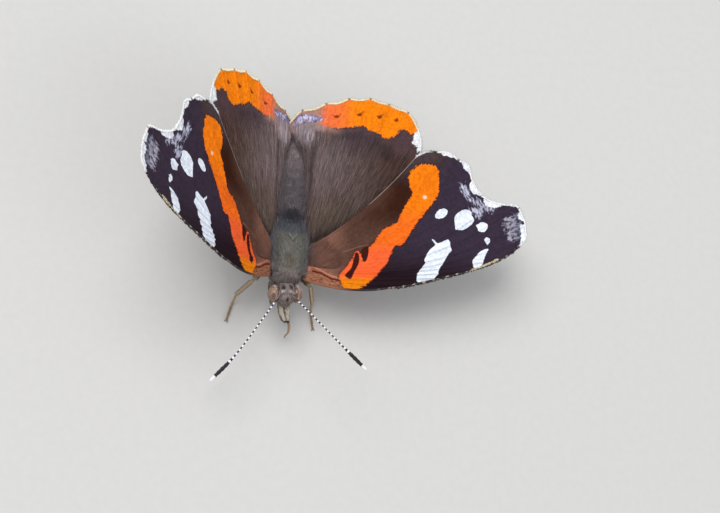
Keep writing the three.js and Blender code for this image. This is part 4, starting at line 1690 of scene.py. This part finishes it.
        # A stretch that ends part of the way round the body thins out there, so that it has no seam.
        up = np.degrees(np.minimum(angle, np.pi - angle))
        round_share = (up - look.arc[0]) / (look.arc[1] - look.arc[0])
        fade = smooth(round_share, 0, 0.35) if look.arc[0] > -90 else np.ones(count)
        fade = fade * (smooth(round_share, 1, 0.65) if look.arc[1] < 90 else 1)
        tilt = tilt * (0.3 + 0.7 * fade)[:, None]
        reach = rng.uniform(*look.length, count)[:, None] * (0.4 + 0.6 * fade)[:, None]
        spines = settling(root, lie, outward, tilt, reach, 0.3)
        hue = self.hue(y, angle)
        if look.tint:
            hue = blend(hue, hues(look.tint)[0], np.full(count, 0.8))
        shades = [0.5, 0.85, 1.15, 1.9] if look.span[1] < -4 else [0.65, 0.9, 1.1, 1.45]
        hue = hue * rng.choice(shades, count, p=[0.25, 0.3, 0.3, 0.15])[:, None]
        widths = look.width * rng.uniform(0.7, 1.3, count)
        piece = tufts(look.name, spines, outward, widths, hue, self.unwrap(y, angle),
                      taper=(1.0, 0.7), root_shade=0.6)
        finish_piece(piece, hair)

    def back_mark(self, hair: Material, rng: Generator) -> None:
        """Sets the two short rows of pale hair that make a V near the thorax's rear end.

        Args:
            hair: Their finish.
            rng: The source of variety.
        """
        count = 120
        share = rng.uniform(0, 1, count)
        side = np.where(np.arange(count) % 2 == 0, 1.0, -1.0)
        y = 0.75 + 0.75 * share + rng.normal(0, 0.04, count)
        angle = np.pi / 2 - side * 0.2 * share
        outward = self.facing(y, angle)
        root = self.surface(y, angle, -0.02)
        lie = unit(np.array([0, 1.0, 0]) + outward * 0.25 + rng.normal(0, 0.2, (count, 3)))
        spines = straight(root, lie, rng.uniform(0.15, 0.3, count)[:, None])
        hue = same_hue("#a3a396", count) * rng.uniform(0.5, 1.1, count)[:, None]
        piece = tufts("back_mark_coat", spines, outward, np.full(count, 0.07), hue,
                      self.unwrap(y, angle), root_shade=0.9)
        finish_piece(piece, hair)


@dataclass
class Face:
    """Eyes, palps, feelers and proboscis."""

    trunk: Trunk
    eye_centre: tuple = (1.5, -5.95, 0.05)
    eye_reach: tuple = (0.86, 1.0, 1.15)
    palp_path: tuple = ((0.5, -6.7, -1.0), (0.44, -7.9, -1.05), (0.34, -8.9, -0.75), (0.2, -9.6, -0.2))
    palp_radii: tuple = (0.3, 0.32, 0.25, 0.1)
    proboscis_path: tuple = ((0.4, -6.4, -1.2), (0.8, -7.6, -2.2), (1.6, -9.2, -2.35),
                             (1.95, -10.0, -3.6), (1.95, -10.2, -4.9), (1.95, -10.3, -5.8))
    feelers: dict = field(default_factory=lambda: {
        1: ((0.45, -5.9, 1.1), (3.6, -9.5, 3.3), (7.2, -13.0, 4.4), (10.7, -15.8, 4.4)),
        -1: ((-0.45, -5.9, 1.1), (-3.3, -10.8, 1.7), (-6.1, -15.4, 1.1), (-8.8, -18.8, 0.0))})
    feeler_radii: tuple = (0.17, 0.11, 0.1, 0.1, 0.1, 0.1, 0.1, 0.1, 0.105, 0.11, 0.13, 0.22, 0.26,
                           0.23, 0.15)
    eye_hairs: int = 1500

    def turn(self, points: Array) -> Array:
        """Turns points with the head."""
        return turned(np.asarray(points, float), "Z", self.trunk.head_turn, self.trunk.neck)

    def eye(self, side: int, material: Material, hair: Material, rng: Generator) -> None:
        """Makes an eye, the fine pale hair on it and the ring of scales round it.

        Args:
            side: 1 for the butterfly's left, -1 for its right.
            material: The eye's finish.
            hair: The finish of hair and ring.
            rng: The source of variety.
        """
        label = SIDES[side]
        bpy.ops.mesh.primitive_uv_sphere_add(segments=48, ring_count=32, radius=1)
        eye = bpy.context.object
        eye.name = eye.data.name = f"eye_{label}_lens"
        centre = np.array(self.eye_centre) * (side, 1, 1)
        ball = read_points(eye)
        tint = blend(*hues("#a8846c", "#7d5a46"), smooth(ball[:, 1], 0.1, -0.7))
        write_points(eye, self.turn(ball * np.array(self.eye_reach) * 0.97 + centre))
        write_attribute(eye, "tint", tint)
        facing_out(eye)
        finish_piece(eye, material, (f"eye_{label}",))
        count = self.eye_hairs
        round_it = rng.uniform(0, 2 * np.pi, count)
        ringed = rng.uniform(0, 1, count) < 0.5
        across = np.where(ringed, rng.normal(0.02, 0.05, count), rng.uniform(-0.1, 0.95, count))
        girth = np.sqrt(1 - across ** 2)
        ball = np.stack([across * side, np.cos(round_it) * girth, np.sin(round_it) * girth], 1)
        root = ball * np.array(self.eye_reach) * 0.96 + centre
        lie = unit(ball / np.array(self.eye_reach) + rng.normal(0, 0.3, (count, 3)))
        reach = np.where(ringed, rng.uniform(0.2, 0.36, count), rng.uniform(0.1, 0.2, count))[:, None]
        spines = self.turn(straight(root, lie, reach))
        hue = blend(*hues("#f0dccf", "#b0897b"), rng.uniform(0, 1, count))
        unwrap = np.stack([round_it / 2 / np.pi, 0.5 + across / 2], 1)
        width = np.where(ringed, 0.07, 0.03)
        outward = np.cross(lie, np.cross(ball, lie) + rng.normal(0, 0.1, (count, 3)))
        outward = turned(unit(outward), "Z", self.trunk.head_turn)
        piece = tufts(f"eye_{label}_hair", spines, outward, width, hue, unwrap)
        finish_piece(piece, hair)

    def socket_spots(self, hair: Material, rng: Generator) -> None:
        """Sets a tuft of white scales in front of each feeler.

        Args:
            hair: Their finish.
            rng: The source of variety.
        """
        count = 120
        side = np.where(np.arange(count) % 2 == 0, 1.0, -1.0)
        root = np.array([-0.15, -5.85, 1.35]) + rng.normal(0, 0.08, (count, 3))
        root[:, 0] += side * 0.5
        lie = unit(np.array([0, -0.6, 0.8]) + rng.normal(0, 0.25, (count, 3)))
        spines = self.turn(straight(root, lie, rng.uniform(0.25, 0.4, count)[:, None]))
        unwrap = np.stack([0.25 + 0.03 * side, 0.1 + 0 * side], 1)
        outward = np.tile([0.0, 0.8, 0.6], (count, 1))
        piece = tufts("feeler_socket_spots", spines, outward, np.full(count, 0.1),
                      same_hue("#eae4dc", count), unwrap, root_shade=1.0)
        finish_piece(piece, hair)

    def palp(self, side: int, skin: Material, hair: Material, rng: Generator) -> None:
        """Makes a palp and its hair.

        Args:
            side: 1 for the butterfly's left, -1 for its right.
            skin: The palp's finish.
            hair: Its hair's finish.
            rng: The source of variety.
        """
        label = SIDES[side]
        path = self.turn(np.array(self.palp_path) * (side, 1, 1))
        piece = swept(f"palp_{label}_limb", path, self.palp_radii, 20, 40, 0.8)
        pale, brown = hues("#c9bba4", "#6b5846")
        over = read_attribute(piece, "over")
        write_attribute(piece, "tint", blend(brown, pale, smooth(over, 0.2, 0.7)))
        finish_piece(piece, skin, (f"palp_{label}",))
        limb_hair(f"palp_{label}_hair", path, self.palp_radii, 1100, (0.25, 0.5), 16,
                  ("#ddd2c0", "#5b4a3c"), hair, rng)

    def feeler(self, side: int, material: Material) -> None:
        """Makes a feeler, a little thicker at the middle of each segment.

        Args:
            side: 1 for the butterfly's left, -1 for its right.
            material: Its finish.
        """
        label = SIDES[side]
        shares = np.linspace(0, 1, 241)
        table = np.interp(shares, np.linspace(0, 1, len(self.feeler_radii)), self.feeler_radii)
        beads = 1 + 0.09 * np.cos(2 * np.pi * (shares * Ringed.segments - 0.5))
        piece = swept(f"antenna_{label}_shaft", self.feelers[side], table * beads, 14, 240)
        finish_piece(piece, material, (f"antenna_{label}",))

    def proboscis(self, material: Material) -> None:
        """Makes the proboscis, which is fine and ringed.

        Args:
            material: Its finish.
        """
        rings = 1 + 0.06 * np.cos(np.arange(241) * 2 * np.pi / 4)
        table = np.interp(np.linspace(0, 1, 241), [0, 0.5, 1], [0.24, 0.19, 0.1]) * rings
        piece = swept("proboscis_tube", self.proboscis_path, table, 12, 160)
        write_attribute(piece, "tint", same_hue("#a58363", len(piece.data.vertices)))
        finish_piece(piece, material, ("proboscis",))


def limb_hair(name: str, path: Array, radii: tuple, count: int, length: tuple, lift: float,
              colours: tuple, hair: Material, rng: Generator) -> None:
    """Sets hair round a limb, lying towards its end.

    Args:
        name: The coat piece's name.
        path: The points that the limb runs through.
        radii: Its radii from start to end.
        count: How many tufts.
        length: The shortest and longest tuft.
        lift: How steeply they stand off, in degrees.
        colours: Hex colours of the hair above and below.
        hair: The finish.
        rng: The source of variety.
    """
    share = rng.uniform(0.03, 0.93, count)
    angle = rng.uniform(0, 2 * np.pi, count)
    at = share * (len(path) - 1)
    centre = spline(path, at)
    ahead = unit(spline(path, np.minimum(at + 0.01, len(path) - 1)) - spline(path, at - 0.01))
    across, above = round_limb(ahead)
    outward = across * np.cos(angle)[:, None] + above * np.sin(angle)[:, None]
    radius = np.interp(share, np.linspace(0, 1, len(radii)), radii)[:, None]
    root = centre + outward * radius * 0.9
    tilt = np.radians(rng.normal(lift, lift * 0.3, count))[:, None]
    spines = settling(root, ahead, outward, tilt, rng.uniform(*length, count)[:, None], 0.4)
    hue = blend(*hues(*colours), smooth(outward[:, 2] + rng.normal(0, 0.25, count), 0.7, 0.1))
    unwrap = np.stack([angle / 2 / np.pi, share], 1)
    piece = tufts(name, spines, outward, rng.uniform(0.06, 0.11, count), hue, unwrap)
    finish_piece(piece, hair)


# Legs

@dataclass
class Leg:
    """A walking leg: femur, spiny tibia, and a tarsus of five joints that ends in two claws."""

    name: str
    root: tuple
    hip: tuple
    knee: tuple
    ankle: tuple
    toe: tuple
    floor: float = -STAND_HEIGHT
    femur_radii: tuple = (0.46, 0.44, 0.4, 0.36, 0.3)
    tibia_radii: tuple = (0.24, 0.26, 0.24, 0.22)
    tarsus_radius: float = 0.19
    joints: int = 5
    spine_pairs: int = 9

    def build(self, skin: Material, horn: Material, hair: Material, rng: Generator) -> None:
        """Makes the leg.

        Args:
            skin: The finish of its scaled parts.
            horn: The finish of spines and claws.
            hair: The finish of its hair.
            rng: The source of variety.
        """
        tan, brown = hues("#b39b78", "#6b5238")
        path = np.array([self.root, self.hip, self.knee], float)
        femur = swept(f"femur_{self.name}_limb", path, self.femur_radii, 18, 60, 0.85)
        self.paint(femur, brown, tan)
        finish_piece(femur, skin, (f"femur_{self.name}",))
        limb_hair(f"femur_{self.name}_hair", path, (0.44, 0.42, 0.38, 0.3), 700, (0.3, 0.6), 18,
                  ("#a5937a", "#6d5a45"), hair, rng)
        tibia = swept(f"tibia_{self.name}_limb", [self.knee, self.ankle], self.tibia_radii, 16, 40)
        self.paint(tibia, tan, tan)
        finish_piece(tibia, skin, (f"tibia_{self.name}",))
        self.spines(horn, rng)
        self.tarsus(skin, horn)

    def paint(self, piece: Object, first: Array, second: Array) -> None:
        """Colours a limb from one colour at its start to a second at its end."""
        along = read_attribute(piece, "along")
        write_attribute(piece, "tint", blend(first, second, smooth(along, 0.1, 0.7)))

    def spines(self, horn: Material, rng: Generator) -> None:
        """Sets two rows of spines and a pair of spurs on the tibia.

        Args:
            horn: Their finish.
            rng: The source of variety.
        """
        knee, ankle = np.array(self.knee), np.array(self.ankle)
        ahead = unit(ankle - knee)
        across = unit(np.cross(ahead, np.array([0, 0, 1.0])))
        under = np.cross(ahead, across)
        share = np.repeat(np.linspace(0.15, 0.92, self.spine_pairs), 2)
        side = np.tile([1.0, -1.0], self.spine_pairs)
        outward = unit(across * side[:, None] + under * -0.5)
        root = knee + (ankle - knee) * share[:, None] + outward * 0.2
        lie = unit(ahead * 0.8 + outward * 0.6)
        length = rng.uniform(0.32, 0.45, len(share))
        # The last two are the spurs.
        root = np.vstack([root, np.repeat(ankle[None] - ahead * 0.1, 2, 0)])
        lie = np.vstack([lie, unit(ahead + across * 0.5), unit(ahead - across * 0.5)])
        length = np.r_[length, 0.6, 0.6][:, None]
        outward = np.vstack([outward, across, -across])
        count = len(root)
        unwrap = np.stack([np.linspace(0.1, 0.9, count), np.full(count, 0.5)], 1)
        piece = tufts(f"tibia_{self.name}_spines", straight(root, lie, length), outward,
                      np.full(count, 0.11), same_hue("#4a3524", count), unwrap, (1, 0.7), 0.8)
        finish_piece(piece, horn)

    def tarsus(self, skin: Material, horn: Material) -> None:
        """Makes the jointed foot, which lies on the floor, and its claws.

        Args:
            skin: The foot's finish.
            horn: The claws' finish.
        """
        ankle = np.array(self.ankle)
        # The curve dips a little below its points, so they are a hair's breadth higher.
        rest = self.floor + self.tarsus_radius + 0.06
        toe = np.array([*self.toe, rest])
        touch = ankle * 0.65 + toe * 0.35
        touch[2] = rest
        shares = np.linspace(0, 1, 121)
        swell = 0.72 + 0.28 * (shares * self.joints % 1) ** 0.8
        slim = np.interp(shares, [0, 1], [1, 0.82])
        piece = swept(f"tarsus_{self.name}_foot", [ankle, touch, toe],
                      self.tarsus_radius * swell * slim, 14, 120)
        self.paint(piece, *hues("#a58c69", "#8a6f4e"))
        finish_piece(piece, skin, (f"tarsus_{self.name}",))
        ahead = unit(toe - touch)
        across = unit(np.cross(ahead, np.array([0, 0, 1.0])))
        down = np.array([0, 0, -1.0])
        sides = np.array([1.0, -1.0])[:, None]
        root = toe + across * sides * 0.06 - ahead * 0.12
        bend = root + ahead * 0.2 + across * sides * 0.12
        tip = bend + ahead * 0.12 + across * sides * 0.05 + down * 0.12
        claws = tufts(f"claw_{self.name}", np.stack([root, bend, tip], 1), np.repeat(-down[None], 2, 0),
                      np.full(2, 0.12), same_hue("#2c1c12", 2), np.array([[0.3, 0.5], [0.6, 0.5]]),
                      (1, 0.8), 0.7)
        finish_piece(claws, horn)


LEGS = (
    Leg("mid_left", (0.9, -0.8, -1.9), (1.5, -1.3, -3.0), (4.0, -3.8, -1.7), (5.3, -5.1, -5.1),
        (6.0, -8.6)),
    Leg("mid_right", (-0.9, -0.8, -1.9), (-1.5, -1.3, -3.0), (-3.8, -4.1, -1.5), (-5.2, -5.4, -5.1),
        (-6.1, -9.0)),
    Leg("hind_left", (0.9, 1.5, -1.8), (1.4, 2.1, -2.9), (3.8, 6.2, -2.6), (5.2, 9.7, -5.1),
        (6.2, 13.2)),
    Leg("hind_right", (-0.9, 1.5, -1.8), (-1.4, 2.1, -2.9), (-3.5, 6.1, -2.5), (-4.9, 9.5, -5.1),
        (-5.6, 13.4)),
)
FORELEG_PATH = ((0.8, -2.9, -1.4), (1.0, -3.7, -2.75), (1.0, -5.2, -2.8), (0.8, -6.9, -2.45))
FORELEG_RADII = (0.3, 0.32, 0.26, 0.16)


def make_forelegs(skin: Material, hair: Material, rng: Generator) -> None:
    """Makes the two short brush-like forelegs, folded under the head.

    Args:
        skin: Their finish.
        hair: The finish of the brush.
        rng: The source of variety.
    """
    for side, label in SIDES.items():
        path = np.array(FORELEG_PATH) * (side, 1, 1)
        limb = swept(f"foreleg_{label}_limb", path, FORELEG_RADII, 16, 50)
        write_attribute(limb, "tint", same_hue("#9a8870", len(limb.data.vertices)))
        finish_piece(limb, skin, (f"foreleg_{label}",))
        limb_hair(f"foreleg_{label}_brush", path, FORELEG_RADII, 1100, (0.35, 0.6), 22,
                  ("#c5b8a3", "#7b6a56"), hair, rng)


# Looks

# Wing scales: dry overlapping plates of chitin, matt with a faint silky sheen.
FORE_UPPER = WingScales("wing_scales_fore_upper", roughness=0.75, specular=0.12, layers=(
    Layer("nerve", "#7b6152", 0.04, 0.1, 0.5),
    Layer("costal_base", "#7b4c38", 0.12, 0.5, 0.95),
    Layer("costal_flecks", "#a87256", 0.12, 1.0, 0.85, Grain.SCALE),
    Layer("ridge", "#bb7b63", 0.06, 0.25, 0.95),
    Layer("red_line", "#5a1409", 0.06, 0.15, 0.95),
    Layer("band_edge", "#3a1109", 0.1, 0.7, 0.7, Grain.STROKE),
    Layer("band", "band_tint", 0.07, 0.9, grain=Grain.STROKE),
    Layer("notch", "#3b100a", 0.05, 0.15),
    Layer("pink", "#ffcdb6", 0.12, 0.1, 0.95),
    Layer("white", "#e9eef8", 0.04, 0.2),
    Layer("white_vein", "#99a2b4", 0.04, 0.04, 0.4),
    Layer("haze", "#b9b4c2", 0.4, 2.6, 0.9, Grain.STROKE),
    Layer("faint_haze", "#83869b", 0.4, 2.6, 0.75, Grain.STROKE),
    Layer("dust", "#c9c9de", 0.28, 2.4, 0.85),
    Layer("cream", "#dccba4", 0.08, 0.3, 0.9),
    Layer("check", "#ecedf2", 0.06, 0.6, grain=Grain.STROKE),
    Layer("rim", "rim_tint", 0.03, 0.05)))
# The underside's scales: as matt, but mottled like bark, with the upper marks paler.
FORE_UNDER = WingScales("wing_scales_fore_under", ground="under_ground", roughness=0.75, layers=(
    Layer("marbling", "#8e8578", 0.15, 1.8, 0.8),
    Layer("band", "#c8553a", 0.12, 0.5, 0.95),
    Layer("cell_blue", "#5a7fc0", 0.08, 0.3),
    Layer("white", "#ece7e2", 0.08, 0.3),
    Layer("check", "#e4e0da", 0.08, 0.35),
    Layer("vein", "#6a5a4c", 0.05, 0.05, 0.6),
    Layer("rim", "rim_tint", 0.03, 0.05)), specular=0.12)
# The hindwing's scales: softer and duller, and more streaked along the hair.
HIND_UPPER = WingScales("wing_scales_hind_upper", roughness=0.8, specular=0.1, streak=0.35, layers=(
    Layer("band_edge", "#3a1a10", 0.1, 0.9, 0.7, Grain.STROKE),
    Layer("band", "band_tint", 0.09, 1.1, grain=Grain.STROKE),
    Layer("dot", "#7a260a", 0.1, 0.15, 0.95),
    Layer("navy", "#2b2b48", 0.08, 0.6, 0.8),
    Layer("blue", "#8883ac", 0.06, 1.6, 0.95, Grain.STROKE),
    Layer("blue_specks", "#d2c9de", 0.1, 1.0, 0.8, Grain.SCALE),
    Layer("apex", "#e6e8ea", 0.1, 0.6),
    Layer("rim", "rim_tint", 0.03, 0.05)))
# Its underside's scales: dull brown bark, marbled, which hides the insect at rest.
HIND_UNDER = WingScales("wing_scales_hind_under", ground="under_ground", roughness=0.8, layers=(
    Layer("marbling", "#2a211e", 0.12, 1.6, 0.8),
    Layer("costal_patch", "#c9bb9a", 0.1, 0.5, 0.9),
    Layer("eyespot", "#39424a", 0.12, 0.5, 0.9),
    Layer("vein", "#7b6a58", 0.05, 0.05, 0.7),
    Layer("rim", "rim_tint", 0.03, 0.05)), specular=0.1, streak=0.5)
# Insect hair: thin, dry and soft, so it scatters light at its edges.
HAIR = Tinted("insect_hair", roughness=0.7, sheen=0.05, specular=0.15, variety=0.15, relief_mm=0.005)
# Cuticle under the hair: dark and dull.
CUTICLE = Tinted("cuticle_skin", roughness=0.6, specular=0.3, variety=0.4, relief_mm=0.04)
# Leg scales: tan, smooth plates with a soft gloss.
LEG_SCALES = Tinted("leg_scales", roughness=0.5, specular=0.4, patch_mm=0.12, variety=0.35)
# Bare horn on spines, claws and proboscis: hard and slightly glossy.
HORN = Tinted("bare_chitin", roughness=0.3, specular=0.5, variety=0.25, relief_mm=0.01)
# Eye: a hard clear cornea over brown pigment, so it is the glossiest part.
CORNEA = Facets("compound_eye", roughness=0.28, specular=0.5, coat=0.6, relief_mm=0.02)
# Feeler scales: black and dull, with chalk-white rings.
FEELER_SCALES = Ringed("feeler_scales", roughness=0.55, relief_mm=0.01)


def main() -> None:
    """Builds the butterfly, piece by piece."""
    Studio().build()
    sides = {pair: [look.build() for look in looks] for pair, looks in (
        (Pair.FORE, (FORE_UPPER, FORE_UNDER)), (Pair.HIND, (HIND_UPPER, HIND_UNDER)))}
    hair, skin, leg_scales, horn, cornea, rings = (
        look.build() for look in (HAIR, CUTICLE, LEG_SCALES, HORN, CORNEA, FEELER_SCALES))
    for number, wing in enumerate(make_wings()):
        wing.build(*sides[wing.pair])
        wing.fringe(hair, np.random.default_rng(100 + number))
        wing.hair(hair, np.random.default_rng(200 + number))
        wing.front_edge(skin)
    trunk = Trunk()
    trunk.build(skin)
    rng = np.random.default_rng(7)
    for look in COATS:
        trunk.coat(look, hair, rng)
    trunk.back_mark(hair, rng)
    face = Face(trunk)
    for side in SIDES:
        face.eye(side, cornea, hair, rng)
        face.palp(side, leg_scales, hair, rng)
        face.feeler(side, rings)
    face.socket_spots(hair, rng)
    face.proboscis(horn)
    make_forelegs(leg_scales, hair, rng)
    for leg in LEGS:
        leg.build(leg_scales, horn, hair, rng)
    bpy.context.view_layer.update()


if __name__ == "__main__":
    main()
